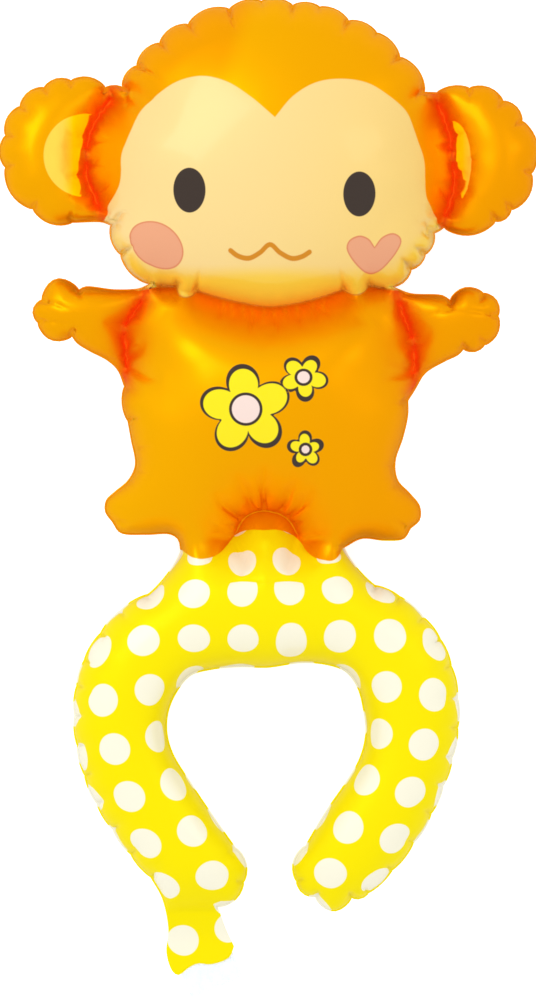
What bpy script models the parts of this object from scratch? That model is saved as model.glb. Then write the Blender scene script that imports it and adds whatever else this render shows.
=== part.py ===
"""A monkey arm balloon: two printed film sheets welded round one outline and blown up.

The monkey (head, ears, arms, trunk and legs) and the open ring that goes round an arm are one
envelope. Short welds inside the outline make the hinge lines at the ears, neck, arms and
crotch; the gas passes between them. The ring's left end runs out into the flat filling neck,
which carries a strip of clear tape that closes the ring.

The balloon lies on its back: +Z up, +Y towards the head, +X to its right-hand side in plan.
"""

import math

import bmesh
import bpy
import numpy as np
from mathutils import Vector
from mathutils.geometry import delaunay_2d_cdt

MM = 0.001

# ---------------------------------------------------------------- driving dimensions (mm)
HEAD_CENTRE = (2.0, 172.5)
HEAD_RADII = (83.5, 74.5)
CROWN_NOTCHES = (156, 147, 135.5, 123, 106.5, 94, 82, 72, 60, 49, 37, 22)  # degrees

EAR_RADII = (35.6, 35.6)
LEFT_EAR_CENTRE = (-96.2, 173.4)
LEFT_EAR_NOTCHES = (268, 234, 193, 167, 140.5, 115.5, 93, 64.5)
RIGHT_EAR_CENTRE = (96.5, 169.8)
RIGHT_EAR_NOTCHES = (84, 54.5, 32, -12, -46, -62, -104.5)

LOBE = 0.17          # how far a puckered lobe stands out, as a share of its chord
LOW_LOBE = 0.07      # the same on the ring, where the seam hardly puckers
SEAM_STEP = 4.2      # spacing of the seam's points
FILM_STEP = 8.4      # spacing of the points over the sheets
RIM = 3.5            # within this of a weld the film rises like a round tube's side
WELD_HALF = 0.5      # half the thickness at a weld and in the flat filling neck
DOME_FULLNESS = 0.85  # a pillow stands less high than a tube of the same width
TUBE_HEIGHT = 18.0   # up to this height the film is a round tube
PILLOW_HEIGHT = 40.0  # from this height it is a full pillow
GRID = 1.0           # cell of the pressure grid
SEAM_ROWS = (1.3, 4.2)   # rows of points beside the seam
WELD_ROWS = (1.6, 4.5)   # rows of points on both sides of an inner weld
ROW_GAPS = (1.15, 2.7)   # the least distance between two points of those rows
FILL_GAP = 0.62      # the least distance between filling points, as a share of their step

CONTACT_DEPTH = 1.5  # how far the film flattens where it lies on the floor
NECK_FOLD_Y = 98.0
CROTCH_FOLD_Y = -24.0
RING_END_Y = -200.0
FOLD_WIDTH = 16.0
TAIL_DROOP = 6.0
TAIL_TOP_Y = -203.0
TAIL_FLAT_Y = -222.0
TAIL_RIGHT_X = -14.0

TAPE_SIZE = (28.0, 17.0, 0.8)
TAPE_CORNER = 1.5
TAPE_CENTRE = (-28.8, -236.8)
TAPE_TURN = 23.0     # degrees
TAPE_GAP = 0.3

ORANGE = (0.94, 0.55, 0.02, 1.0)
CLEAR = (0.90, 0.95, 1.0, 1.0)


# ---------------------------------------------------------------- curves in plan
def on_ellipse(centre, radii, degrees):
    """Points of an ellipse in the given directions from its centre."""
    points = []
    for angle in np.radians(degrees):
        c, s = math.cos(angle), math.sin(angle)
        reach = 1 / math.hypot(c / radii[0], s / radii[1])
        points.append((centre[0] + reach * c, centre[1] + reach * s))
    return points


def smooth(points, step=SEAM_STEP):
    """A centripetal Catmull-Rom curve through the points, evenly stepped, without its last point."""
    p = np.array(points, float)
    p = np.vstack([2 * p[0] - p[1], p, 2 * p[-1] - p[-2]])
    curve = []
    for a, b, c, d in zip(p[:-3], p[1:-2], p[2:-1], p[3:]):
        t = np.cumsum([0.0] + [max(1e-6, np.linalg.norm(q - r)) ** 0.5
                               for q, r in ((b, a), (c, b), (d, c))])
        for u in np.linspace(t[1], t[2], 24, endpoint=False):
            ab = a + (b - a) * (u - t[0]) / (t[1] - t[0])
            bc = b + (c - b) * (u - t[1]) / (t[2] - t[1])
            cd = c + (d - c) * (u - t[2]) / (t[3] - t[2])
            abc = ab + (bc - ab) * (u - t[0]) / (t[2] - t[0])
            bcd = bc + (cd - bc) * (u - t[1]) / (t[3] - t[1])
            curve.append(abc + (bcd - abc) * (u - t[1]) / (t[2] - t[1]))
    curve.append(p[-2])
    return evenly(np.array(curve), step)


def evenly(curve, step):
    """The same line with points about one step apart, without its last point."""
    along = np.concatenate([[0], np.cumsum(np.linalg.norm(np.diff(curve, axis=0), axis=1))])
    count = max(1, round(along[-1] / step))
    at = np.linspace(0, along[-1], count + 1)[:-1]
    return np.stack([np.interp(at, along, curve[:, k]) for k in (0, 1)], axis=1)


def lobes(notches, bulge=LOBE, step=SEAM_STEP):
    """A puckered seam: an arc from each notch to the next, standing out to the left of travel."""
    runs = []
    for a, b in zip(np.array(notches[:-1], float), np.array(notches[1:], float)):
        chord = b - a
        out = np.array([-chord[1], chord[0]])
        count = max(3, round(np.linalg.norm(chord) / step))
        t = np.linspace(0, 1, count, endpoint=False)[:, None]
        runs.append(a + chord * t + out * bulge * np.sin(math.pi * t) ** 0.8)
    return np.vstack(runs)


def outline():
    """The welded edge, clockwise from above, starting where the crown meets the left ear."""
    crown = on_ellipse(HEAD_CENTRE, HEAD_RADII, CROWN_NOTCHES)
    right_ear = on_ellipse(RIGHT_EAR_CENTRE, EAR_RADII, RIGHT_EAR_NOTCHES)
    left_ear = on_ellipse(LEFT_EAR_CENTRE, EAR_RADII, LEFT_EAR_NOTCHES)
    right_root, right_cheek = (84, 203), (83, 132.5)
    left_cheek = (-78.5, 136.5)
    runs = [
        lobes(crown),
        smooth([crown[-1], right_root]),
        lobes([right_root, right_ear[0]], 0.14),
        lobes(right_ear),
        smooth([right_ear[-1], (86, 134), right_cheek]),
        lobes([right_cheek, (78.5, 122), (71.5, 114.5), (63, 106)], 0.16),
        smooth([(63, 106), (71, 103.4), (90, 101.5)]),                      # right arm, top
        lobes([(90, 101.5), (108, 104), (116, 91.5)], 0.26),                # right hand
        lobes([(116, 91.5), (111.5, 76), (97, 73.5)], 0.18),
        smooth([(97, 73.5), (88, 68.5), (78.5, 63), (73.5, 55), (70, 49.5)]),
        smooth([(70, 49.5), (70, 42.5), (67.5, 31), (63.7, 19), (65, 10), (71, 3.5), (76, -3),
                (76, -10), (71.5, -14.3)]),                                 # flank and foot
        smooth([(71.5, -14.3), (68, -19.5), (58.5, -20.5), (47, -19.5), (38.4, -23.8)]),
        lobes([(38.4, -23.8), (54, -42.5)], -0.06),
        lobes([(54, -42.5), (66, -48), (78, -58.5), (86.5, -69.5), (92, -83), (95.2, -99),
               (95.2, -114), (92.5, -129), (88, -143), (82, -157), (73, -172), (62.5, -185.5),
               (50.5, -197)], LOW_LOBE),                                    # ring, right side
        lobes([(50.5, -197), (42, -199.5)], 0.2),
        lobes([(42, -199.5), (23.5, -199)], 0.38),
        lobes([(23.5, -199), (14, -191), (18.5, -173)], 0.22),
        smooth([(18.5, -173), (28.5, -156), (38.5, -141.5), (45.5, -129.5), (48.5, -117.5),
                (47.5, -105.5), (44.5, -94), (38.5, -86), (28.5, -82.5), (16, -81.8), (0, -84),
                (-14.5, -83.8), (-28, -85), (-38.5, -88), (-45, -95.5), (-49.5, -105.5),
                (-50.3, -116), (-47.5, -126.5), (-38, -142), (-24.5, -162), (-16, -174)]),
        lobes([(-16, -174), (-12, -191.5), (-25, -204)], 0.20),              # left ring end
        smooth([(-25, -204), (-21, -215), (-17, -224)]),                    # filling neck
        smooth([(-17, -224), (-19.5, -229.5), (-29, -233), (-35, -232.5), (-40, -234.8),
                (-45, -238.5), (-48, -236.5), (-51, -227), (-50, -215.5), (-53, -200),
                (-59, -189)]),
        lobes([(-59, -189), (-69, -177.5), (-78, -165), (-86, -152), (-92, -138), (-95.7, -123),
               (-97, -108), (-96, -93), (-92.2, -80), (-84, -66.5), (-74, -55), (-60.5, -47)],
              LOW_LOBE),                                                    # ring, left side
        lobes([(-60.5, -47), (-44, -25.5)], -0.06),
        smooth([(-44, -25.5), (-45, -20), (-49, -17.3), (-60.5, -17.5), (-74, -16.5), (-78, -11)]),
        smooth([(-78, -11), (-81.5, -6), (-81, 0), (-77, 4), (-70, 10), (-66.5, 17.5), (-68.5, 30),
                (-70.2, 39.5)]),                                            # left foot and flank
        lobes([(-70.2, 39.5), (-71.8, 56.5)], 0.12),
        smooth([(-71.8, 56.5), (-76, 65), (-80, 69), (-89, 73), (-98, 79.5)]),
        lobes([(-98, 79.5), (-115.5, 88)], 0.30),                           # left hand
        lobes([(-115.5, 88), (-115, 99.5)], 0.26),
        lobes([(-115, 99.5), (-94.5, 106.5)], 0.40),
        smooth([(-94.5, 106.5), (-88, 105.5), (-76, 104.8), (-64, 105.5), (-59.5, 107.5)]),
        lobes([(-59.5, 107.5), (-73.5, 122), left_cheek], 0.15),
        smooth([left_cheek, (-82.5, 138), left_ear[0]]),
        lobes(left_ear),
        lobes([left_ear[-1], crown[0]], 0.12),
    ]
    return np.vstack(runs)


def welds():
    """The short welds inside the outline, each an open line; gas passes between them."""
    return [
        smooth_line([(-77.5, 201), (-83, 193), (-87.5, 182.5), (-88.3, 177.5)]),   # left ear
        smooth_line([(-89.2, 166), (-89.5, 160), (-86, 150), (-83.3, 143.5)]),
        smooth_line([(84.5, 198), (88, 190.5), (92, 181), (93, 176.5)]),           # right ear
        smooth_line([(95, 164), (94, 153), (90, 145), (87.5, 140)]),
        smooth_line([(-56, 106.5), (-46.5, 106.3)]),                                # neck
        smooth_line([(-35, 104), (-19, 99.5), (1, 96.5), (21, 99.5), (37, 104.5)]),
        smooth_line([(51, 106.5), (59, 105)]),
        smooth_line([(-62.5, 102.5), (-64.5, 97), (-70, 89.5)]),                    # left arm
        smooth_line([(-71.5, 80), (-70.3, 70), (-70.2, 61)]),
        smooth_line([(64.5, 101.5), (66.5, 94), (71, 84)]),                         # right arm
        smooth_line([(73, 74), (73, 64), (71.5, 55)]),
        smooth_line([(-16.5, -17), (-11, -8.5), (-1.5, -5.5), (9, -9), (15, -17.5)]),  # crotch
    ]


def smooth_line(points):
    return np.vstack([smooth(points), [points[-1]]])


# ---------------------------------------------------------------- how high the film stands
def inside(points, polygon):
    """Even-odd test of many points against one closed polygon."""
    x, y = points[..., 0], points[..., 1]
    found = np.zeros(x.shape, bool)
    for (ax, ay), (bx, by) in zip(polygon, np.roll(polygon, -1, axis=0)):
        if ay != by:
            crosses = (ay > y) != (by > y)
            found ^= crosses & (x < (bx - ax) * (y - ay) / (by - ay) + ax)
    return found


def inflated_height(edge, inner_welds):
    """A function (points) -> height of the blown-up film over the flat plane.

    The film is lifted by pressure and held down at every weld, so the square of its height
    solves Poisson's equation: a long strip comes out exactly as a round tube."""
    low = edge.min(axis=0) - 3 * GRID
    size = np.ceil((edge.max(axis=0) + 3 * GRID - low) / GRID).astype(int) + 1
    gx, gy = np.meshgrid(np.arange(size[0]), np.arange(size[1]), indexing="ij")
    cells = low + GRID * np.stack([gx, gy], axis=-1)
    free = inside(cells, edge) & ~flat_neck(cells)
    for weld in inner_welds:
        line = evenly(weld, GRID / 3)
        at = np.round((np.vstack([line, weld[-1:]]) - low) / GRID).astype(int)
        free[at[:, 0], at[:, 1]] = False
    u = np.zeros(free.shape)
    checker = (gx + gy) % 2 == 0
    relax = 2 / (1 + math.sin(math.pi / 110))
    for _ in range(420):
        for colour in (checker, ~checker):
            around = (np.roll(u, 1, 0) + np.roll(u, -1, 0) + np.roll(u, 1, 1) + np.roll(u, -1, 1))
            step = (around + GRID * GRID) / 4 - u
            u += np.where(free & colour, relax * step, 0)
    square = 2 * np.maximum(u, 0)

    def height(points):
        at = (np.asarray(points) - low) / GRID
        i = np.clip(np.floor(at).astype(int), 0, np.array(u.shape) - 2)
        f = at - i
        ix, iy, fx, fy = i[:, 0], i[:, 1], f[:, 0], f[:, 1]
        level = (square[ix, iy] * (1 - fx) * (1 - fy) + square[ix + 1, iy] * fx * (1 - fy)
                 + square[ix, iy + 1] * (1 - fx) * fy + square[ix + 1, iy + 1] * fx * fy)
        tall = np.sqrt(level)
        pillow = np.clip((tall - TUBE_HEIGHT) / (PILLOW_HEIGHT - TUBE_HEIGHT), 0, 1)
        return tall * (1 - (1 - DOME_FULLNESS) * pillow)

    return height


def flat_neck(points):
    """The filling neck below the ring's left end isn't blown up."""
    return (points[..., 1] < TAIL_TOP_Y - 2) & (points[..., 0] < -15)


# ---------------------------------------------------------------- triangles in plan
def lined(points, offsets, closed):
    """Rows of points at each offset to the right of a line's travel, one for each of its points."""
    if closed:
        along = np.roll(points, -1, axis=0) - np.roll(points, 1, axis=0)
    else:
        along = np.gradient(points, axis=0)
    along /= np.linalg.norm(along, axis=1)[:, None]
    right = np.stack([along[:, 1], -along[:, 0]], axis=1)
    return [points + right * d for d in offsets]


def spaced(candidates, kept, gap):
    """The candidates at least one gap from every kept point and from each other."""
    chosen = []
    for q in candidates:
        near = np.min(np.sum((kept - q) ** 2, axis=1)) if len(kept) else np.inf
        if chosen:
            near = min(near, np.min(np.sum((np.array(chosen) - q) ** 2, axis=1)))
        if near >= gap * gap:
            chosen.append(q)
    return np.array(chosen).reshape(-1, 2)


def plan_mesh(edge, inner_welds):
    """(points, triangles, how many points lie on the edge, which points lie on a weld)."""
    held = np.vstack([edge] + inner_welds)
    points = held
    for at_seam, at_weld, gap in zip(SEAM_ROWS, WELD_ROWS, ROW_GAPS):
        rows = lined(edge, (at_seam,), closed=True)
        for weld in inner_welds:
            rows += lined(weld, (at_weld, -at_weld), closed=False)
        row = np.vstack(rows)
        row = row[inside(row, edge)]
        points = np.vstack([points, spaced(row, points, gap)])
    low, high = edge.min(axis=0), edge.max(axis=0)
    grid = [
        (x + (FILM_STEP / 2 if k % 2 else 0), y)
        for k, y in enumerate(np.arange(low[1], high[1], FILM_STEP * math.sqrt(3) / 2))
        for x in np.arange(low[0], high[0], FILM_STEP)
    ]
    grid = np.array(grid)
    grid = grid[inside(grid, edge)]
    points = np.vstack([points, spaced(grid, points, FILM_STEP * FILL_GAP)])
    count = len(edge)
    lines = [(i, (i + 1) % count) for i in range(count)]
    start = count
    for weld in inner_welds:
        lines += [(start + i, start + i + 1) for i in range(len(weld) - 1)]
        start += len(weld)
    made = delaunay_2d_cdt([Vector(p) for p in points], lines, [], 0, 1e-5)
    plan = np.array([tuple(v) for v in made[0]])
    triangles = np.array([f for f in made[2] if len(f) == 3])
    middle = plan[triangles].mean(axis=1)
    triangles = triangles[inside(middle, edge)]
    area = np.cross(plan[triangles[:, 1]] - plan[triangles[:, 0]],
                    plan[triangles[:, 2]] - plan[triangles[:, 0]])
    triangles[area < 0] = triangles[area < 0][:, ::-1]
    return plan, triangles, count, np.arange(count, len(held))


# ---------------------------------------------------------------- how the balloon lies
def eased(t):
    t = np.clip(t, 0, 1)
    return t * t * (3 - 2 * t)


def bent_level(y, levels):
    """Height of the sheets' middle plane along the balloon, which folds at the neck and crotch."""
    head, crotch, ring_end = levels
    neck = np.interp(y, [CROTCH_FOLD_Y, NECK_FOLD_Y], [crotch, head])
    ring = np.interp(y, [RING_END_Y, CROTCH_FOLD_Y], [ring_end, crotch])
    at_neck = eased((y - NECK_FOLD_Y + FOLD_WIDTH) / (2 * FOLD_WIDTH))
    at_crotch = eased((CROTCH_FOLD_Y + FOLD_WIDTH - y) / (2 * FOLD_WIDTH))
    level = neck * (1 - at_neck) + head * at_neck
    return level * (1 - at_crotch) + ring * at_crotch


def lying_levels(plan, tall):
    """The middle plane's heights that let the head, the trunk and the ring all touch the floor."""
    y = plan[:, 1]
    head = y > NECK_FOLD_Y + FOLD_WIDTH
    trunk = (y < NECK_FOLD_Y - FOLD_WIDTH) & (y > CROTCH_FOLD_Y + FOLD_WIDTH)
    ring = y < CROTCH_FOLD_Y - FOLD_WIDTH
    levels = [float(tall[head].max()) - CONTACT_DEPTH, 0.0, 0.0]
    for which, part in ((1, trunk), (2, ring)):
        low, high = 0.0, levels[which - 1]
        for _ in range(40):
            levels[which] = (low + high) / 2
            if which == 1:
                levels[2] = levels[1]
            if (bent_level(y[part], levels) - tall[part]).min() > -CONTACT_DEPTH:
                high = levels[which]
            else:
                low = levels[which]
    return levels


# ---------------------------------------------------------------- objects
def clear_scene():
    for old in list(bpy.data.objects):
        bpy.data.objects.remove(old)


def material(name, colour, roughness, metallic=0.0):
    made = bpy.data.materials.new(name)
    made.use_nodes = True
    shader = made.node_tree.nodes["Principled BSDF"]
    shader.inputs["Base Color"].default_value = colour
    shader.inputs["Roughness"].default_value = roughness
    shader.inputs["Metallic"].default_value = metallic
    return made


def add_object(name, points, faces, finish):
    mesh = bpy.data.meshes.new(name)
    mesh.from_pydata([tuple(p) for p in points], [], [tuple(int(i) for i in f) for f in faces])
    mesh.materials.append(finish)
    mesh.shade_smooth()
    made = bpy.data.objects.new(name, mesh)
    bpy.context.scene.collection.objects.link(made)
    return made


def standing(plan, held, height):
    """Half the thickness at each point: zero on the edge is set later, welds keep their own."""
    tall = np.maximum(height(plan), WELD_HALF)
    for i, p in enumerate(plan):
        apart = np.sum((held - p) ** 2, axis=1)
        near = held[int(np.argmin(apart))]
        gap = math.sqrt(apart.min())
        if 0.01 < gap < RIM and not flat_neck(p):
            deeper = near + (p - near) * RIM / gap
            tall[i] = max(float(height(deeper[None])[0]) * math.sqrt(gap / RIM), WELD_HALF)
    return tall


def make_balloon():
    """The blown-up envelope: front sheet, back sheet and the edge that they share."""
    edge, inner_welds = outline(), welds()
    plan, triangles, on_edge, on_weld = plan_mesh(edge, inner_welds)
    held = plan[: on_weld[-1] + 1]
    tall = standing(plan, held, inflated_height(edge, inner_welds))
    tall[on_weld] = WELD_HALF
    tall[:on_edge] = 0.0
    levels = lying_levels(plan, tall)
    middle = bent_level(plan[:, 1], levels)
    drooping = eased((TAIL_TOP_Y - plan[:, 1]) / (TAIL_TOP_Y - TAIL_FLAT_Y))
    middle -= TAIL_DROOP * drooping * (plan[:, 0] < TAIL_RIGHT_X)
    front = np.column_stack([plan, middle + tall])
    back = np.column_stack([plan, np.maximum(middle - tall, 0.0)])
    inner = np.arange(on_edge, len(plan))
    back_index = np.arange(len(plan))
    back_index[inner] = len(plan) + np.arange(len(inner))
    points = np.vstack([front, back[inner]]) * MM
    faces = np.vstack([triangles, back_index[triangles][:, ::-1]])
    add_object("balloon", points, faces, material("printed_film", ORANGE, 0.25))
    end_level = bent_level(np.array([TAPE_CENTRE[1]]), levels)[0] - TAIL_DROOP
    return levels, end_level


def make_tape(end_level):
    """The clear tape strip, stuck under the filling neck's end and standing out past it."""
    mesh = bpy.data.meshes.new("tape_tab")
    shape = bmesh.new()
    bmesh.ops.create_cube(shape, size=1.0)
    bmesh.ops.scale(shape, vec=[v * MM for v in TAPE_SIZE], verts=shape.verts)
    upright = [e for e in shape.edges if abs(e.verts[0].co.z - e.verts[1].co.z) > 1e-6]
    bmesh.ops.bevel(shape, geom=upright, offset=TAPE_CORNER * MM, segments=5, profile=0.5,
                    affect="EDGES")
    shape.to_mesh(mesh)
    shape.free()
    mesh.materials.append(material("clear_tape", CLEAR, 0.3))
    tape = bpy.data.objects.new("tape_tab", mesh)
    top = end_level - WELD_HALF - TAPE_GAP
    tape.location = (TAPE_CENTRE[0] * MM, TAPE_CENTRE[1] * MM, (top - TAPE_SIZE[2] / 2) * MM)
    tape.rotation_euler.z = math.radians(TAPE_TURN)
    bpy.context.scene.collection.objects.link(tape)
    return top - TAPE_SIZE[2]


def main():
    clear_scene()
    levels, end_level = make_balloon()
    under_tape = make_tape(end_level)
    print("middle plane at head, crotch and ring end:", [round(v, 2) for v in levels])
    print("underside of the tape:", round(under_tape, 3))


main()
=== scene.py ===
# %% [markdown]
# # A monkey arm balloon
#
# The real thing is a bag of thin metallised film. Two printed sheets lie flat on each other and
# are welded together round one outline. Blown up, each sheet bulges away from the other, the
# weld gathers into little lobes, and the film round it puckers. Short welds inside the outline
# work as hinges for the ears, the neck, the arms and the crotch.
#
# The lesson builds it in the same order: the outline, the welds, how high the gas lifts the
# film, a mesh that follows all of these, a cloth simulation that lets the film settle, and the
# printing. Every size is in millimetres until a mesh is made.

# %% Load the frame
import math

import bpy
import numpy as np
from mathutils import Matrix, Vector
from mathutils.geometry import delaunay_2d_cdt
from mathutils.kdtree import KDTree


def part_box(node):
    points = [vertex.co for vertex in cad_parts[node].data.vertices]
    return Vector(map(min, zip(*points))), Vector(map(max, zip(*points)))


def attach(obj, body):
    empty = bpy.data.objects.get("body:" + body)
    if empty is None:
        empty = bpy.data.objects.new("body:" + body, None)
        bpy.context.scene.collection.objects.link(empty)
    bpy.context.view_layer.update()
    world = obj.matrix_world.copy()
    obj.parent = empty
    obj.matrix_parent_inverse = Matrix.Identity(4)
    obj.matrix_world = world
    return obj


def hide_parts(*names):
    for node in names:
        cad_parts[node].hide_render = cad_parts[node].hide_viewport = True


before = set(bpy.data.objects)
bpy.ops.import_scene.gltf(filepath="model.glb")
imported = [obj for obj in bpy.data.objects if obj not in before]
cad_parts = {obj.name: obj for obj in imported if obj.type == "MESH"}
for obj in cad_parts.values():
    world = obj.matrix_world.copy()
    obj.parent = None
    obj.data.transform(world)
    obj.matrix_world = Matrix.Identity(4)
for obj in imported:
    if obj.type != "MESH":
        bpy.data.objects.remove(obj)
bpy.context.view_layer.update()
MM = 0.001
print("nodes:", sorted(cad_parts))

# %% [markdown]
# ## The outline
#
# A seam point carries four numbers: its place in plan, how long a crease runs in from it, and
# how puffed out the seam is there. A smooth stretch is a Catmull-Rom curve through a few given
# points. A puckered stretch is a row of lobes, one arc from each notch to the next, with
# its points crowded towards the notches because that is where the film bends sharply.

# %% Curves through a few points
SEAM_STEP = 2.0
CURVE_DETAIL = 24       # points from one given point to the next
LOBE_DETAIL, LOBE_CROWDING, LOBE_ROUNDNESS = 1.15, 0.75, 0.7
FLAT_PUFF = 0.5


def unit(directions):
    return directions / np.linalg.norm(directions, axis=1)[:, None]


def walked_along(line):
    """How far along a line each of its points is."""
    return np.concatenate([[0], np.cumsum(np.linalg.norm(np.diff(line, axis=0), axis=1))])


def evenly(curve, step):
    """The same line with points about one step apart, without its last point."""
    along = walked_along(curve)
    count = max(1, round(along[-1] / step))
    at = np.linspace(0, along[-1], count + 1)[:-1]
    return np.stack([np.interp(at, along, curve[:, k]) for k in (0, 1)], axis=1)


def curve_through(points, step=SEAM_STEP):
    """A centripetal Catmull-Rom curve through the points, without its last point."""
    p = np.array(points, float)
    p = np.vstack([2 * p[0] - p[1], p, 2 * p[-1] - p[-2]])
    curve = []
    for a, b, c, d in zip(p[:-3], p[1:-2], p[2:-1], p[3:]):
        steps = [max(1e-6, np.linalg.norm(q - r)) ** 0.5 for q, r in ((b, a), (c, b), (d, c))]
        t = np.cumsum([0.0] + steps)
        for u in np.linspace(t[1], t[2], CURVE_DETAIL, endpoint=False):
            ab = a + (b - a) * (u - t[0]) / (t[1] - t[0])
            bc = b + (c - b) * (u - t[1]) / (t[2] - t[1])
            cd = c + (d - c) * (u - t[2]) / (t[3] - t[2])
            abc = ab + (bc - ab) * (u - t[0]) / (t[2] - t[0])
            bcd = bc + (cd - bc) * (u - t[1]) / (t[3] - t[1])
            curve.append(abc + (bcd - abc) * (u - t[1]) / (t[2] - t[1]))
    curve.append(p[-2])
    return evenly(np.array(curve), step)


def smooth(points):
    """A stretch of seam without puckers."""
    plan = curve_through(points)
    return np.column_stack([plan, np.zeros(len(plan)), np.full(len(plan), FLAT_PUFF)])


def lobes(notches, bulge, crease):
    """A puckered stretch of seam, standing out to the left of travel between its notches."""
    runs = []
    for a, b in zip(np.array(notches[:-1], float), np.array(notches[1:], float)):
        chord = b - a
        out = np.array([-chord[1], chord[0]])
        count = max(4, round(LOBE_DETAIL * np.linalg.norm(chord) / SEAM_STEP))
        u = np.linspace(0, 1, count, endpoint=False)
        t = (u - LOBE_CROWDING * np.sin(2 * math.pi * u) / (2 * math.pi))[:, None]
        puff = np.sin(math.pi * t)
        plan = a + chord * t + out * bulge * puff ** LOBE_ROUNDNESS
        runs.append(np.column_stack([plan, np.where(u == 0, crease, 0.0), puff[:, 0]]))
    return np.vstack(runs)


def on_ellipse(centre, radii, degrees):
    """Points of an ellipse in the given directions from its centre."""
    points = []
    for angle in np.radians(degrees):
        c, s = math.cos(angle), math.sin(angle)
        reach = 1 / math.hypot(c / radii[0], s / radii[1])
        points.append((centre[0] + reach * c, centre[1] + reach * s))
    return points


# %% The seam round the whole balloon
HEAD_CENTRE, HEAD_RADII = (2.0, 172.5), (83.5, 74.5)
EAR_RADII = (35.6, 35.6)
LEFT_EAR_CENTRE, RIGHT_EAR_CENTRE = (-96.2, 173.4), (96.5, 169.8)
SHALLOW_NOTCHES, SHALLOW_OUT = (5, 7, 9), 1.022
CROWN_RUNS = [  # first notch, last notch, bulge, length of the creases
    (0, 4, 0.18, 6), (4, 5, 0.15, 6), (5, 6, 0.15, 2), (6, 7, 0.15, 6), (7, 8, 0.15, 2),
    (8, 9, 0.15, 6), (9, 10, 0.15, 2), (10, 11, 0.18, 6),
]


def seam_line():
    """The welded edge, clockwise from above, starting where the crown meets the left ear."""
    crown = np.array(on_ellipse(HEAD_CENTRE, HEAD_RADII,
                                (156, 147, 135.5, 123, 106.5, 94, 82, 72, 60, 49, 37, 22)))
    for notch in SHALLOW_NOTCHES:
        crown[notch] = HEAD_CENTRE + SHALLOW_OUT * (crown[notch] - HEAD_CENTRE)
    right_ear = on_ellipse(RIGHT_EAR_CENTRE, EAR_RADII, (84, 54.5, 32, -12, -46, -62, -104.5))
    left_ear = on_ellipse(LEFT_EAR_CENTRE, EAR_RADII, (268, 234, 193, 167, 140.5, 115.5, 93, 64.5))
    runs = [lobes(crown[first:last + 1], bulge, crease) for first, last, bulge, crease in CROWN_RUNS]
    run_end = crown[-1]
    for points, *shape in [  # after a run's points come its bulge and crease, if it's puckered
        ([(84, 203)],),
        ([right_ear[0]], 0.14, 0),
        (right_ear[1:], 0.21, 5),
        ([(86, 134), (83, 132.5)],),
        ([(78.5, 122), (71.5, 114.5), (63, 106)], 0.16, 6),
        ([(71, 103), (87, 102), (90.5, 99.8)],),
        ([(107.2, 103.2), (114.8, 91.5)], 0.27, 4),
        ([(108, 77), (97.4, 74.8)], 0.22, 4),
        ([(95, 72.2), (88, 68.8), (78.5, 63), (73.5, 55), (70, 49.5)],),
        ([(70, 42.5), (67.5, 31), (63.7, 19), (65, 10), (71, 3.5), (76, -3), (76, -10),
          (71.5, -14.3)],),
        ([(68, -19.5), (58.5, -20.5), (47, -19.5), (38.4, -23.8)],),
        ([(54, -42.5)], -0.06, 0),
        ([(66, -48), (78, -58.5), (86.5, -69.5), (92, -83), (95.2, -99), (95.2, -114),
          (92.5, -129), (88, -143), (82, -157), (73, -172), (62.5, -185.5), (50.5, -197)],
         0.07, 2.5),
        ([(42, -199.5)], 0.2, 2.5),
        ([(23.5, -199)], 0.38, 2.5),
        ([(14, -191), (18.5, -173)], 0.22, 2.5),
        ([(28.5, -156), (38.5, -141.5), (45.5, -129.5), (48.5, -117.5), (47.5, -105.5),
          (44.5, -94), (38.5, -86), (28.5, -82.5), (16, -81.8), (0, -84), (-14.5, -83.8),
          (-28, -85), (-38.5, -88), (-45, -95.5), (-49.5, -105.5), (-50.3, -116),
          (-47.5, -126.5), (-38, -142), (-24.5, -162), (-16, -174)],),
        ([(-12, -191.5), (-25, -204)], 0.20, 2.5),
        ([(-21, -215), (-17, -224)],),
        ([(-19.5, -229.5), (-29, -233), (-35, -232.5), (-40, -234.8), (-45, -238.5),
          (-48, -236.5), (-51, -227), (-50, -215.5), (-53, -200), (-59, -189)],),
        ([(-69, -177.5), (-78, -165), (-86, -152), (-92, -138), (-95.7, -123), (-97, -108),
          (-96, -93), (-92.2, -80), (-84, -66.5), (-74, -55), (-60.5, -47)], 0.07, 2.5),
        ([(-44, -25.5)], -0.06, 0),
        ([(-45, -20), (-49, -17.3), (-60.5, -17.5), (-74, -16.5), (-78, -11)],),
        ([(-81.5, -6), (-81, 0), (-77, 4), (-70, 10), (-66.5, 17.5), (-68.5, 30),
          (-70.2, 39.5)],),
        ([(-71.8, 56.5)], 0.12, 4),
        ([(-75, 64.5), (-80, 69.3), (-89, 74), (-95.5, 78.2), (-97.6, 81.2)],),
        ([(-114.8, 88.2), (-112.8, 99.8)], 0.30, 4),
        ([(-94, 104.9)], 0.42, 4),
        ([(-91, 106.4), (-76, 104.9), (-64, 105.5), (-59.5, 107.5)],),
        ([(-73.5, 122), (-78.5, 136.5)], 0.15, 6),
        ([(-82.5, 138), left_ear[0]],),
        (left_ear[1:], 0.20, 4),
        ([crown[0]], 0.12, 4),
    ]:
        run = [run_end, *points]
        runs.append(lobes(run, *shape) if shape else smooth(run))
        run_end = points[-1]
    return np.vstack(runs)


seam = seam_line()
seam_plan = seam[:, :2]
print("seam points:", len(seam), "notches with a crease:", int((seam[:, 2] > 0).sum()))

# %% [markdown]
# ## The hinge welds
#
# Each hinge is one or more short welds that stop before the seam and leave gaps between them,
# so that the gas can pass. In the model a weld is a narrow strip where the two sheets meet, at
# the bottom of a valley in the film.

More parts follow.
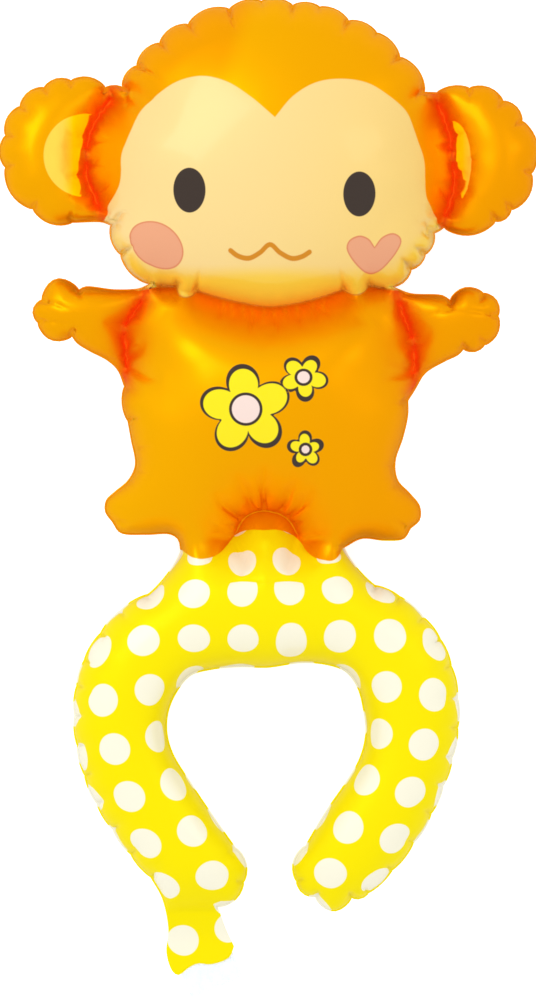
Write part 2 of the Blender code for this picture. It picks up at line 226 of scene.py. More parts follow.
# %% The welds inside the outline
WELD_LINES = {
    "left ear": [[(-78.5, 198.5), (-83, 193), (-88.5, 182.5), (-89.8, 175.5)],
                 [(-90.3, 167.0), (-90.0, 160), (-86, 150), (-84.5, 146.5)]],
    "right ear": [[(85, 196), (87.5, 190), (90.3, 181), (91.2, 174.5)],
                  [(92.2, 167), (92.8, 160), (92.2, 153.5), (90, 146), (88.3, 142)]],
    "neck": [[(-53, 106.5), (-46.5, 106.3)],
             [(-35, 104), (-19, 99.5), (1, 96.5), (21, 99.5), (37, 104.5)],
             [(51, 106.5), (57.5, 105.5)]],
    "left arm": [[(-63.5, 98.5), (-65.5, 95), (-70.5, 87.5)],
                 [(-71.5, 82.5), (-70.3, 70), (-70, 62)]],
    "right arm": [[(65.2, 98), (67, 93), (71.5, 81.5)],
                  [(72.8, 76.5), (72.6, 66), (71, 57)]],
    "crotch": [[(-16.5, -17), (-11, -8.5), (-1.5, -5.5), (9, -9), (15, -17.5)]],
}
EAR_VALLEY, ARM_VALLEY = (0.95, 0.95, 1.2), (0.85, 0.85, 1.2)
VALLEYS = {  # how steeply the film may rise above and below a weld in plan, and the fold's depth
    "left ear": EAR_VALLEY, "right ear": EAR_VALLEY, "neck": (3.0, 1.15, 1.0),
    "left arm": ARM_VALLEY, "right arm": ARM_VALLEY, "crotch": (0.9, 0.9, 0.8),
}
FOLD_REACH = 2.2      # how far from the weld the fold is filled in
VALLEY_REACH = 26.0   # how far from the weld the valley's sides start to curve upwards
CLEAR_OF_SEAM = 5.2
WELD_DETAIL = 0.5

seam_tree = KDTree(len(seam_plan))
for index, (x, y) in enumerate(seam_plan):
    seam_tree.insert((x, y, 0), index)
seam_tree.balance()


def clear_of_seam(line):
    """A weld's line without the points that come too close to the seam."""
    far = [seam_tree.find((x, y, 0))[2] > CLEAR_OF_SEAM for x, y in line]
    return line[np.array(far)]


welds, valleys = [], []
for name, lines in WELD_LINES.items():
    for points in lines:
        fine = curve_through(points, WELD_DETAIL)
        fine = clear_of_seam(np.vstack([fine, points[-1:]]))
        welds.append(np.vstack([evenly(fine, SEAM_STEP), fine[-1:]]))
        valleys.append(VALLEYS[name])
ear_welds, arm_welds, crotch_weld = welds[:4], welds[7:11], welds[11]
left_neck_weld, neck_weld, right_neck_weld = welds[4:7]
print("welds:", len(welds))

# %% [markdown]
# ## How high the gas lifts the film
#
# A film under even pressure, held down along its welds, behaves like a soap skin: the square
# of its height solves Poisson's equation. On a long strip that gives exactly a round tube.
# The equation is solved here on a grid of 1 mm cells by successive over-relaxation.

# %% Solve for the height
FLANGE, LOBE_FLANGE = 0.6, 0.6   # the flat rim outside the blown-up part, and more on a lobe
WELD_WIDTH = 0.35     # half of it
FILM = 0.3            # half the thickness where the sheets lie together
DOME_FULLNESS = 0.85  # a pillow stands less high than a tube of the same width
TUBE_HEIGHT, PILLOW_HEIGHT = 18.0, 40.0
TAIL_TOP_Y = -203.0
FLAT_FROM_Y, FLAT_UP_TO_X = TAIL_TOP_Y - 2, -15
TAIL_LINE, TAIL_VALLEY = np.array([(-62.0, -205.5), (-25.5, -205.5)]), (1.1, 1.1, 1.5)
GRID_MARGIN = 3
SHARPEST_TURN = 0.6   # the least share of a full step at a corner
SWEEPS, CELLS_ACROSS = 420, 110
BLEND = 3             # how sharply the film's height turns into the valley's


def inside(points, polygon):
    """Even-odd test of many points against one closed polygon."""
    x, y = points[..., 0], points[..., 1]
    found = np.zeros(x.shape, bool)
    for (ax, ay), (bx, by) in zip(polygon, np.roll(polygon, -1, axis=0)):
        if ay != by:
            crosses = (ay > y) != (by > y)
            found ^= crosses & (x < (bx - ax) * (y - ay) / (by - ay) + ax)
    return found


def flat_neck(points):
    """The filling neck below the ring's left end isn't blown up."""
    return (points[..., 1] < FLAT_FROM_Y) & (points[..., 0] < FLAT_UP_TO_X)


def inward(loop, by):
    """A closed loop moved to the right of its travel, by one distance or one for each point."""
    ahead = unit(np.roll(loop, -1, axis=0) - loop)
    behind = np.roll(ahead, 1, axis=0)
    along = ahead + behind
    half_turn = np.linalg.norm(along, axis=1) / 2
    along = unit(along)
    right = np.stack([along[:, 1], -along[:, 0]], axis=1)
    turns_right = behind[:, 0] * ahead[:, 1] - behind[:, 1] * ahead[:, 0] < 0
    stretch = np.where(turns_right, 1 / np.maximum(half_turn, SHARPEST_TURN), 1.0)
    return loop + right * (by * stretch)[:, None]


flange_width = FLANGE + LOBE_FLANGE * seam[:, 3]
rim_plan = inward(seam_plan, flange_width)
grid_low = seam_plan.min(axis=0) - GRID_MARGIN
grid_size = np.ceil(seam_plan.max(axis=0) + GRID_MARGIN - grid_low).astype(int) + 1
gx, gy = np.meshgrid(np.arange(grid_size[0]), np.arange(grid_size[1]), indexing="ij")
cells = grid_low + np.stack([gx, gy], axis=-1)
free = inside(cells, rim_plan) & ~flat_neck(cells)
for weld in welds:
    at = np.round(np.vstack([evenly(weld, 0.3), weld[-1:]]) - grid_low).astype(int)
    free[at[:, 0], at[:, 1]] = False

lift = np.zeros(free.shape)
checker = (gx + gy) % 2 == 0
OVER_RELAX = 2 / (1 + math.sin(math.pi / CELLS_ACROSS))
for _ in range(SWEEPS):
    for half in (checker, ~checker):
        around = (np.roll(lift, 1, 0) + np.roll(lift, -1, 0)
                  + np.roll(lift, 1, 1) + np.roll(lift, -1, 1))
        lift += np.where(free & half, OVER_RELAX * ((around + 1) / 4 - lift), 0)


def on_grid(values, points):
    """A grid's values at any points, read between its cells."""
    at = np.asarray(points) - grid_low
    i = np.clip(np.floor(at).astype(int), 0, np.array(values.shape) - 2)
    fx, fy = (at - i).T
    ix, iy = i.T
    return (values[ix, iy] * (1 - fx) * (1 - fy) + values[ix + 1, iy] * fx * (1 - fy)
            + values[ix, iy + 1] * (1 - fx) * fy + values[ix + 1, iy + 1] * fx * fy)


def away_from(line, points):
    """Each point's distance from an open line, and whether it lies above the line in plan."""
    nearest = np.full(len(points), np.inf)
    above = np.zeros(len(points), bool)
    for a, b in zip(line[:-1], line[1:]):
        t = np.clip((points - a) @ (b - a) / np.sum((b - a) ** 2), 0, 1)
        away = points - (a + t[:, None] * (b - a))
        far = np.linalg.norm(away, axis=1)
        above = np.where(far < nearest, away[:, 1] > 0, above)
        nearest = np.minimum(nearest, far)
    return nearest, above


def height(points):
    """How far the film stands above the flat plane."""
    tall = np.sqrt(2 * np.maximum(on_grid(lift, points), 0))
    pillow = np.clip((tall - TUBE_HEIGHT) / (PILLOW_HEIGHT - TUBE_HEIGHT), 0, 1)
    tall = tall * (1 - (1 - DOME_FULLNESS) * pillow)
    for weld, (slope_above, slope_below, fold) in zip(welds + [TAIL_LINE], valleys + [TAIL_VALLEY]):
        away, above = away_from(weld, points)
        slope = np.where(above, slope_above, slope_below)
        side = (FILM + slope * away * (1 + (away / VALLEY_REACH) ** 2)
                + fold * (1 - np.exp(-away / FOLD_REACH)))
        tall = tall * side / (tall ** BLEND + side ** BLEND + 1e-9) ** (1 / BLEND)
    return tall


print("highest point of the film:", round(float(height(cells[free]).max()), 1), "mm")

# %% [markdown]
# ## Creases
#
# The film gathers at every notch of the seam, so a short crease runs in from each one. A few
# are longer, and some fan out from the neck and the crotch, where the sheets are pulled
# together. Two faint ones mark where film is tucked away below the crotch. A crease is a
# straight line with a depth and a half width.

# %% Where the creases run
LONG_CREASES = [  # from x, from y, to x, to y, depth, half width
    (-65, 215.6, -52.5, 207.2, 1.5, 1.1), (-19.3, 243.5, -15.3, 229, 1.3, 1),
    (12.6, 245, 12.6, 236.5, 1, 0.9), (39, 237.8, 37, 228, 1.3, 1),
    (77.2, 203, 72, 198.2, 1.3, 1.1), (-78.4, 138, -69, 144.2, 1.4, 1.2),
    (82, 133.6, 75.5, 139.5, 1.5, 1.2), (81, 131, 73, 134.5, 1, 1),
    (117.5, 200.5, 111.5, 199.5, 1.1, 0.9), (127.5, 188.5, 122.5, 187, 1.2, 0.9),
    (131, 163, 124, 164.5, 1.1, 0.9), (90.6, 99.6, 90.2, 94.5, 1.6, 1.1),
    (114.4, 91.5, 104, 93.5, 1.5, 1.1), (106, 93.2, 91, 95.5, 0.7, 1.3),
    (92, 95.5, 78, 91, 0.7, 1.4), (107.2, 103, 105, 97, 1.2, 0.9),
    (107.9, 77.2, 104.5, 82.5, 1.2, 0.9), (97.4, 75, 96, 81, 1.2, 0.9),
    (-112.6, 99.7, -104, 97, 1.5, 1.1), (-105, 97.3, -96, 93.5, 0.7, 1.3),
    (-114.6, 88.2, -106, 88.2, 1.4, 1.1), (-107, 88.2, -97, 86.5, 0.7, 1.3),
    (-97.6, 81.4, -95.2, 88, 1.4, 1.1), (-94, 104.7, -92.5, 99, 1.2, 0.9),
    (-92.5, 180.5, -101, 182, 0.8, 1), (-92.8, 162, -101.5, 161, 0.8, 1),
    (-88, 177.5, -75.5, 178.6, 0.8, 1.1), (-88, 166, -78, 164.5, 0.6, 1.1),
    (89.5, 176.5, 79, 176, 0.6, 1.1), (94, 163.5, 101, 162, 0.8, 1), (92.6, 181, 98.5, 183, 0.7, 1),
    (68.6, 50, 63, 47, 1, 0.9), (-65.5, 25.5, -55.5, 26.5, 0.7, 1.1),
    (-66, 14.5, -58, 12, 0.6, 1.1), (62.5, 17, 55.5, 17.5, 0.6, 1), (71, -15, 61, -9, 1.1, 1.2),
    (64, 7.5, 58, 3, 0.6, 1), (-75.5, -10.5, -69, -12, 0.9, 1), (-1.6, -4, -2.8, 6.2, 1.5, 0.9),
    (-6, -4.6, -10.3, 2.2, 1.1, 0.8), (5.6, -6.2, 13.2, 4, 1.5, 0.9),
    (-13, -9.5, -21.5, -3.6, 0.9, 0.8), (-15.5, -13.5, -26, -10.6, 0.7, 0.8),
    (12.5, -12.5, 21, -8.1, 0.9, 0.8), (9.5, -8.8, 17.5, -2.5, 0.7, 0.8),
    (0, -39.6, -27, -40.2, 0.25, 0.8), (0, -39.6, 27, -40.2, 0.25, 0.8),
    (-35.8, 105, -33.5, 118, 1.2, 1.1), (37.4, 106, 35, 118.5, 1, 1.1),
    (-46, 106.5, -45.5, 113, 0.9, 1), (50.5, 106.5, 50, 113, 0.9, 1),
]
NECK_FAN_X = (-21.7, -17.9, -12.2, -7.6, -2.0, 3.1, 8.6, 14.3, 22.0, 27.3)
CREASE_DEPTH, CREASE_WIDTH = 1.3, 0.8   # how much deeper and wider than listed
FAN_DEPTH, FAN_WIDTH, FAN_START, FAN_SPREAD = 0.8, 1.0, 1.5, 1.13
MEET_NOTCH = 0.5
NOTCH_LENGTH, NOTCH_DEPTH, NOTCH_WIDTH = 1.5, (0.24, 0.3), (0.08, 0.5)
FAN_LENGTH, FAN_UNEVEN, FAN_TURN = 7.0, 3.0, 1.7
BESIDE_NOTCH = 7


def short_creases():
    """A crease at each notch of the seam that has one, straight in from the seam."""
    made = []
    count = len(seam)
    for i in np.nonzero(seam[:, 2] > 0)[0]:
        along = seam_plan[(i + BESIDE_NOTCH) % count] - seam_plan[i - BESIDE_NOTCH]
        along /= np.linalg.norm(along)
        right = np.array([along[1], -along[0]])
        start = seam_plan[i] + right * MEET_NOTCH
        size = seam[i, 2]
        depth, width = (slope * size + least for slope, least in (NOTCH_DEPTH, NOTCH_WIDTH))
        made.append((start, start + right * NOTCH_LENGTH * size, depth, width))
    return made


def neck_fan():
    """The short gathers that fan out below the neck's long weld."""
    made = []
    for x in NECK_FAN_X:
        y = np.interp(x, neck_weld[:, 0], neck_weld[:, 1])
        reach = FAN_LENGTH + FAN_UNEVEN * math.cos(x * FAN_TURN)
        made.append(((x, y - FAN_START), (x * FAN_SPREAD, y - FAN_START - reach),
                     FAN_DEPTH, FAN_WIDTH))
    return made


long_creases = [(row[:2], row[2:4], *row[4:]) for row in LONG_CREASES]
creases = [(np.array(a, float), np.array(b, float), CREASE_DEPTH * depth, CREASE_WIDTH * width)
           for a, b, depth, width in long_creases + short_creases() + neck_fan()]
print("creases:", len(creases))

# %% [markdown]
# ## The printing
#
# The prints are ink on the flat film, so they're part of the sheet and not separate pieces.
# Each has a closed border in plan. The borders go into the mesh as rows of points, and every
# point of the film then stores its signed distance to each border. A distance blends evenly
# over a triangle, so the ink's edge stays sharp however coarse the mesh is. The film bulges
# towards the camera and looks larger there, so the face's borders are drawn in a little.

# %% Helpers for borders
BORDER_STEP, STROKE_STEP = 1.3, 0.9
PETAL_ROUNDNESS, PETAL_ROOT, PETAL = 0.8, 0.58, 0.42


def border(*runs):
    """A closed border: smooth through each run's points, with a corner where two runs meet."""
    return np.vstack([curve_through(run, BORDER_STEP) for run in runs])


def oval(centre, radii, turn=0.0):
    """An ellipse's border, turned anticlockwise by some degrees."""
    count = round(2 * math.pi * max(radii) / BORDER_STEP)
    t = np.linspace(0, 2 * math.pi, count, endpoint=False)
    x, y = radii[0] * np.cos(t), radii[1] * np.sin(t)
    c, s = math.cos(math.radians(turn)), math.sin(math.radians(turn))
    return np.column_stack([centre[0] + c * x - s * y, centre[1] + s * x + c * y])


def left_of(line):
    """The direction to the left of an open line at each of its points."""
    along = unit(np.gradient(line, axis=0))
    return np.stack([-along[:, 1], along[:, 0]], axis=1)


def round_ended(line, side, radius):
    """A closed loop along both sides of an open line, with a round cap at each end."""
    caps = []
    for centre, out in ((line[-1], side[-1]), (line[0], -side[0])):
        angle = math.atan2(out[1], out[0]) - math.pi * np.arange(1, 4) / 4
        caps.append(centre + radius * np.column_stack([np.cos(angle), np.sin(angle)]))
    return np.vstack([line + side, caps[0], (line - side)[::-1], caps[1]])


def stroke(points, width):
    """The border of a line of ink with round ends."""
    line = np.vstack([curve_through(points, STROKE_STEP), points[-1:]])
    return round_ended(line, left_of(line) * width / 2, width / 2)


def blossom(centre, reach, turn, shrink=0.0, petals=5):
    """A plain flower with round petals."""
    t = np.linspace(0, 2 * math.pi, round(8 * reach / BORDER_STEP), endpoint=False)
    pen = shrink * (1 + 0.35 * np.sin(2 * t + 1))
    petal = np.abs(np.cos(petals * t / 2)) ** PETAL_ROUNDNESS
    r = reach * (PETAL_ROOT + PETAL * petal) - pen
    angle = t + math.radians(turn)
    return np.column_stack([centre[0] + r * np.cos(angle), centre[1] + r * np.sin(angle)])


RISE_Y, RISE = (-24.0, 98.0), (0.0, 19.5)   # how the sheets' middle plane rises to the head
VIEWED_FROM = 4000.0


def drawn_in(line):
    """A border moved in a little, because the film bulges towards the camera and looks larger."""
    rise = np.interp(line[:, 1], RISE_Y, RISE) + height(line)
    return line * (1 - rise / VIEWED_FROM)[:, None]


# %% The borders
LEFT_EYE, RIGHT_EYE, EYE_RADII = (-39.3, 155.2), (45.7, 153.3), (8.1, 11.1)
MOUTH = [(-18.8, 126.1), (-15.0, 123.5), (-9.5, 122.4), (-4.0, 124.9), (1.0, 128.7),
         (6.0, 124.9), (12.0, 122.3), (17.2, 123.3), (20.8, 125.4)]
MOUTH_WIDTH = 2.3
CHEST_INK = 2.0

brow_left = [(-78.5, 146.5), (-74.8, 152.0), (-72.8, 158.0), (-72.6, 166.0), (-71.3, 176.0),
             (-67.4, 185.0), (-61.3, 194.5), (-53.8, 203.6), (-45.0, 209.4), (-33.0, 212.0),
             (-21.0, 209.4), (-9.0, 202.0), (3.5, 191.5)]
brow_right = [(3.5, 191.5), (12.5, 202.0), (24.0, 208.8), (37.0, 210.6), (50.0, 208.5),
              (60.0, 202.5), (67.3, 194.5), (72.2, 184.0), (75.6, 171.0), (77.6, 160.0),
              (78.0, 150.0), (82.0, 143.0)]
right_cheek_edge = [(82.0, 143.0), (86.5, 136.5), (100.0, 125.0), (70.0, 103.5)]
chin = ([(70.0, 103.5)] + [tuple(p) for p in right_neck_weld[::-1]] + [(47.5, 104.3), (42.5, 103.8)]
        + [tuple(p) for p in neck_weld[::-1]] + [(-38.0, 102.3), (-43.5, 102.3)]
        + [tuple(p) for p in left_neck_weld[::-1]] + [(-66.0, 104.5)])
left_cheek_edge = [(-66.0, 104.5), (-100.0, 125.0), (-84.0, 137.5), (-78.5, 146.5)]
FACE = drawn_in(border(brow_left, brow_right, right_cheek_edge, chin, left_cheek_edge))

ring_top = [(-56.0, -24.5), (-43.5, -24.9), (-39.0, -28.0), (-32.8, -29.3), (-26.7, -28.0),
            (-21.4, -23.8), (-16.8, -17.8), (-13.0, -15.6), (-9.0, -14.6), (-1.5, -14.4),
            (5.6, -14.7), (10.2, -16.2), (14.0, -18.6), (17.0, -21.5), (19.5, -25.5),
            (24.0, -28.9), (32.4, -30.0), (36.2, -26.8), (38.0, -24.0), (52.0, -20.0)]
heart = [(53.3, 127.4), (56.9, 131.6), (62.5, 133.6), (66.0, 131.8), (66.8, 129.2), (64.4, 124.1),
         (59.4, 118.6), (54.9, 115.5), (51.0, 114.8), (46.9, 117.1), (42.4, 121.6), (39.8, 125.6),
         (39.2, 127.8), (40.6, 131.0), (45.7, 133.1), (50.4, 131.4), (53.3, 127.4)]
left_print_edge = [(-84.0, 199.0), (-87.5, 192.5), (-89.8, 188.0), (-91.9, 181.5), (-92.3, 176.0),
                   (-94.0, 170.0), (-94.6, 162.0), (-93.4, 156.0), (-92.5, 150.0)]
right_print_edge = [(97.0, 148.0), (95.6, 152.0), (97.6, 158.5), (95.2, 164.0), (93.6, 169.7),
                    (93.7, 175.0), (93.6, 181.7), (90.9, 190.0), (88.0, 197.0)]
FAR = 160.0
EAR_SIDES = [border(left_print_edge, [left_print_edge[-1], (-FAR, 100.0)],
                    [(-FAR, 100.0), (-FAR, 240.0)], [(-FAR, 240.0), left_print_edge[0]]),
             border(right_print_edge, [right_print_edge[-1], (FAR, 240.0)],
                    [(FAR, 240.0), (FAR, 100.0)], [(FAR, 100.0), right_print_edge[0]])]
MIDDLE, MIDDLE_INK = 0.36, 1.4
BLOSSOMS = [((-11.0, 45.0), 23.0, 96.0), ((17.5, 61.0), 12.5, 60.0), ((18.5, 25.0), 9.5, 20.0)]

PRINTS = {
    "face": [FACE],
    "eyes": [drawn_in(oval(eye, EYE_RADII)) for eye in (LEFT_EYE, RIGHT_EYE)],
    "mouth": [drawn_in(stroke(MOUTH, MOUTH_WIDTH))],
    "cheeks": [drawn_in(oval((-55.7, 128.1), (14.2, 10.6), -28.0)), drawn_in(border(heart))],
    "inner_ears": [drawn_in(oval((-91.5, 172.5), (20.8, 20.8))),
                   drawn_in(oval((92.9, 169.0), (9.4, 20.4)))],
    "ring": [border(ring_top, [(52.0, -20.0), (FAR, -20.0)], [(FAR, -20.0), (FAR, -270.0)],
                    [(FAR, -270.0), (-FAR, -270.0)], [(-FAR, -270.0), (-FAR, -24.5)],
                    [(-FAR, -24.5), ring_top[0]])],
    "chest_ink": [blossom(*b) for b in BLOSSOMS],
    "chest_fill": [blossom(*b, shrink=CHEST_INK) for b in BLOSSOMS],
    "chest_middle_ink": [oval(at, (MIDDLE * reach, MIDDLE * reach)) for at, reach, _ in BLOSSOMS],
    "chest_middle": [oval(at, (MIDDLE * reach - MIDDLE_INK, MIDDLE * reach - MIDDLE_INK))
                     for at, reach, _ in BLOSSOMS],
}
print("printed shapes:", sum(len(loops) for loops in PRINTS.values()))

# %% Signed distance to a border
def signed_distance(points, loops):
    """Distance from each point to the nearest border, negative inside."""
    nearest = np.full(len(points), np.inf)
    within = np.zeros(len(points), bool)
    for loop in loops:
        ends = np.roll(loop, -1, axis=0) - loop
        lengths = np.maximum(np.sum(ends ** 2, axis=1), 1e-9)
        for start, end, length in zip(loop, ends, lengths):
            away = points - start
            t = np.clip(away @ end / length, 0, 1)
            nearest = np.minimum(nearest, np.sum((away - t[:, None] * end) ** 2, axis=1))
        within |= inside(points, loop)
    return np.where(within, -1.0, 1.0) * np.sqrt(nearest)


# %% [markdown]
# ## The mesh of one sheet
#
# Beside a weld the film stands almost upright: 2 mm in, it's already over 10 mm high. So the
# mesh starts there with closed rows of points, each row a copy of the weld's own loop moved
# inwards, and joined to the row before it by quads. Everything between the last rows is filled
# by a Delaunay triangulation, whose points are the printed borders, the rows beside each
# crease and an even grid.

# %% Rows of points beside the welds
WALL_STEPS = (0.12, 0.45, 1.0, 1.7)
RISE_WIDTH = 3.6      # within this of a weld the film rises like the side of a round tube
END_TAPER = 4         # how far from a weld's end its loop starts to narrow

points, tall, pinned, faces = [], [], [], []


def add_row(loop, heights, held):
    start = len(points)
    points.extend(loop)
    tall.extend(heights)
    pinned.extend([held] * len(loop))
    return np.arange(start, start + len(loop))


def join_rows(outer, inner):
    for a, b, c, d in zip(outer, np.roll(outer, -1), np.roll(inner, -1), inner):
        faces.append((a, b, c))
        faces.append((a, c, d))


def walls(rim_row, loops, rises):
    """Rows up the steep side of the film, from a weld's row inwards."""
    row = rim_row
    for loop, rise in zip(loops, rises):
        inner = add_row(loop, np.maximum(rise, FILM), False)
        join_rows(row, inner)
        row = inner
    return row


def round_weld(line, by):
    """A closed loop round an open weld, narrower at its ends, clockwise seen from the film."""
    walked = walked_along(line)
    to_end = np.minimum(walked, walked[-1] - walked)
    side = left_of(line) * by * (0.5 + 0.5 * np.clip(to_end / END_TAPER, 0, 1))[:, None]
    return round_ended(line, side, by / 2)[::-1]


edge_row = add_row(seam_plan, np.zeros(len(seam)), True)
rim_row = add_row(rim_plan, np.full(len(seam), FILM), True)
join_rows(edge_row, rim_row)
deep = height(inward(rim_plan, RISE_WIDTH))
rows = [inward(rim_plan, step) for step in WALL_STEPS]
last_rows = [walls(rim_row, rows, [deep * math.sqrt(step / RISE_WIDTH) for step in WALL_STEPS])]
weld_rows = []
for weld in welds:
    loop = round_weld(weld, WELD_WIDTH)
    weld_row = add_row(loop, np.full(len(loop), FILM), True)
    weld_rows.append(weld_row)
    rows = [round_weld(weld, WELD_WIDTH + step) for step in WALL_STEPS]
    last_rows.append(walls(weld_row, rows, [height(row) for row in rows]))
print("points in rows:", len(points))

# %% Fill between the rows
FILM_STEP = 2.8
GROOVE_ROWS = (0.0, 0.75, -0.75, 1.8, -1.8, 3.2, -3.2)   # in half widths of the crease
BORDER_GAP, BESIDE_GAP, GROOVE_GAP = 0.7, 0.42, 0.65
ring_points = np.vstack([np.array(points)[row] for row in last_rows])
film_border = np.array(points)[last_rows[0]]
weld_borders = [np.array(points)[row] for row in last_rows[1:]]


def on_film(q):
    """Which points lie between the last rows."""
    found = inside(q, film_border)
    for loop in weld_borders:
        found &= ~inside(q, loop)
    return found


def spaced(candidates, kept, gap):
    """The candidates at least one gap from every kept point and from each other."""
    table = {}
    for p in kept:
        table.setdefault((int(p[0] // gap), int(p[1] // gap)), []).append(p)
    chosen = []
    for q in candidates:
        kx, ky = int(q[0] // gap), int(q[1] // gap)
        near = [r for ix in (kx - 1, kx, kx + 1) for iy in (ky - 1, ky, ky + 1)
                for r in table.get((ix, iy), ())]
        if all((r[0] - q[0]) ** 2 + (r[1] - q[1]) ** 2 >= gap * gap for r in near):
            chosen.append(q)
            table.setdefault((kx, ky), []).append(q)
    return np.array(chosen).reshape(-1, 2)


def crease_rows(start, end, width):
    """Points along a crease and beside it, close enough to carry its groove."""
    length = np.linalg.norm(end - start)
    along = (end - start) / length
    left = np.array([-along[1], along[0]])
    steps = np.arange(0.2, length + 1.5, 1.2)
    return np.vstack([start + along * steps[:, None] + left * (side * width) for side in GROOVE_ROWS])


BESIDE_BORDER = 0.5
borders = [loop for loops in PRINTS.values() for loop in loops]
beside = [inward(loop, side) for loop in borders for side in (BESIDE_BORDER, -BESIDE_BORDER)]
kept = ring_points
wanted = [(np.vstack(borders), BORDER_GAP),
          (np.vstack(beside), BESIDE_GAP),
          (np.vstack([crease_rows(a, b, width) for a, b, _, width in creases]), GROOVE_GAP)]
for offset, gap in ((1.5, 1.35), (3.4, 2.0)):
    for loop in [film_border] + weld_borders:
        wanted.append((inward(loop, offset), gap))
rows = np.arange(grid_low[1], seam_plan[:, 1].max(), FILM_STEP * math.sqrt(3) / 2)
columns = np.arange(grid_low[0], seam_plan[:, 0].max(), FILM_STEP)
even = [(x + (FILM_STEP / 2 if k % 2 else 0), y) for k, y in enumerate(rows) for x in columns]
wanted.append((np.array(even), 0.7 * FILM_STEP))
for candidates, gap in wanted:
    kept = np.vstack([kept, spaced(candidates[on_film(candidates)], kept, gap)])

lines, start = [], 0
for row in last_rows:
    lines += [(start + i, start + (i + 1) % len(row)) for i in range(len(row))]
    start += len(row)
filled = delaunay_2d_cdt([Vector(p) for p in kept], lines, [], 0, 1e-6)
if len(filled[0]) != len(kept):
    raise ValueError("two rows of the film cross each other")
number = np.concatenate(last_rows + [np.arange(len(points), len(points) + len(kept) - start)])
inner_points = kept[start:]
points.extend(inner_points)
tall.extend(np.maximum(height(inner_points), FILM))
pinned.extend([False] * len(inner_points))
order = np.array([sources[0] for sources in filled[3]])
fill = number[order[np.array([face for face in filled[2] if len(face) == 3])]]
fill = fill[on_film(np.array(points)[fill].mean(axis=1))]
faces.extend(tuple(face) for face in fill)
for row in weld_rows:
    loop = [Vector(points[i]) for i in row]
    strip = delaunay_2d_cdt(loop, [(i, (i + 1) % len(row)) for i in range(len(row))], [], 1, 1e-6)
    faces.extend(tuple(row[strip[3][i][0]] for i in face) for face in strip[2])

plan = np.array(points)
tall = np.array(tall)
pinned = np.array(pinned)
faces = np.array(faces)
side = np.cross(plan[faces[:, 1]] - plan[faces[:, 0]], plan[faces[:, 2]] - plan[faces[:, 0]])
faces[side < 0] = faces[side < 0][:, ::-1]
neck = flat_neck(plan)
tall[neck] = np.minimum(tall[neck], FILM)
pinned[neck] = True
on_edge = len(seam)
tall[:on_edge] = 0.0
print("one sheet:", len(plan), "points,", len(faces), "triangles")

# %% [markdown]
# ## Blowing it up
#
# The solved height is the film's shape before it wrinkles. Both sheets now become one closed
# mesh and go through the Cloth modifier with a pressure inside, held at every weld. Beside the
# hinge welds the film is given some slack, because there the sheets are folded and it's too
# long for the place it has to fill. The mesh is simulated at ten times its size, where the
# modifier's settings behave well.

# %% Both sheets as one bag
count = len(plan)
back_of = np.arange(count)
back_of[on_edge:] = count + np.arange(count - on_edge)
bag_faces = np.vstack([faces, back_of[faces][:, ::-1]])


def bag(front, back):
    """The points of both sheets, which share the outer edge."""
    return np.vstack([front, back[on_edge:]])


def open_bag(both):
    """The two sheets' points again."""
    return both[:count].copy(), both[back_of].copy()


front = np.column_stack([plan, tall])
back = np.column_stack([plan, -tall])
dome = float(tall.max())

# %% Let the film settle
CLOTH_SCALE = 10 * MM
CLOTH_FRAMES = 11
SLACK = 0.05
SLACK_WIDTH = 12.0
SLACK_SHARES = {"neck": 0.25, "crotch": 0.25}
CLOTH_SETTINGS = {
    "quality": 6, "mass": 0.1,
    "tension_stiffness": 40, "compression_stiffness": 15, "shear_stiffness": 15,
    "bending_stiffness": 2, "tension_damping": 5, "compression_damping": 5, "shear_damping": 5,
    "bending_damping": 0.5, "use_pressure": True, "uniform_pressure_force": 5,
    "vertex_group_mass": "held", "pin_stiffness": 50, "vertex_group_shrink": "tight",
    "shrink_min": -SLACK, "shrink_max": 0,
}

slack_shares = [SLACK_SHARES.get(name, 1.0) for name, lines in WELD_LINES.items() for _ in lines]
slack = np.zeros(count)
for weld, share in zip(welds, slack_shares):
    away = away_from(weld, plan)[0]
    slack = np.maximum(slack, share * (1 - np.clip(away / SLACK_WIDTH, 0, 1) ** 0.7))


def add_object(name, spots, polygons):
    mesh = bpy.data.meshes.new(name)
    mesh.from_pydata([tuple(p) for p in spots], [], [tuple(int(i) for i in f) for f in polygons])
    mesh.shade_smooth()
    made = bpy.data.objects.new(name, mesh)
    bpy.context.scene.collection.objects.link(made)
    return made


def settle(both):
    """The bag's points after a short cloth simulation with pressure inside."""
    film = add_object("settling", both * CLOTH_SCALE, bag_faces)
    held = film.vertex_groups.new(name="held")
    tight = film.vertex_groups.new(name="tight")
    held_points = np.nonzero(pinned)[0]
    held.add([int(i) for i in np.union1d(held_points, back_of[held_points])], 1.0, "REPLACE")
    for i, loose in enumerate(slack):
        tight.add([i, int(back_of[i])], float(1 - loose), "REPLACE")
    cloth = film.modifiers.new("gas pressure", "CLOTH")
    for name, value in CLOTH_SETTINGS.items():
        setattr(cloth.settings, name, value)
    cloth.settings.effector_weights.gravity = 0
    cloth.collision_settings.use_collision = False
    cloth.point_cache.frame_start = 1
    cloth.point_cache.frame_end = CLOTH_FRAMES
    for step in range(1, CLOTH_FRAMES + 1):
        bpy.context.scene.frame_set(step)
    settled = film.evaluated_get(bpy.context.evaluated_depsgraph_get()).data
    found = np.empty(len(both) * 3, np.float32)
    settled.vertices.foreach_get("co", found)
    bpy.data.objects.remove(film)
    bpy.context.scene.frame_set(1)
    return found.reshape(-1, 3).astype(float) / CLOTH_SCALE


front, back = open_bag(settle(bag(front, back)))
stretched = front[:, 2].max() / dome
front[:, 2] /= stretched
back[:, 2] /= stretched
print("the gas stretched the film by", round(100 * (stretched - 1), 1), "%")

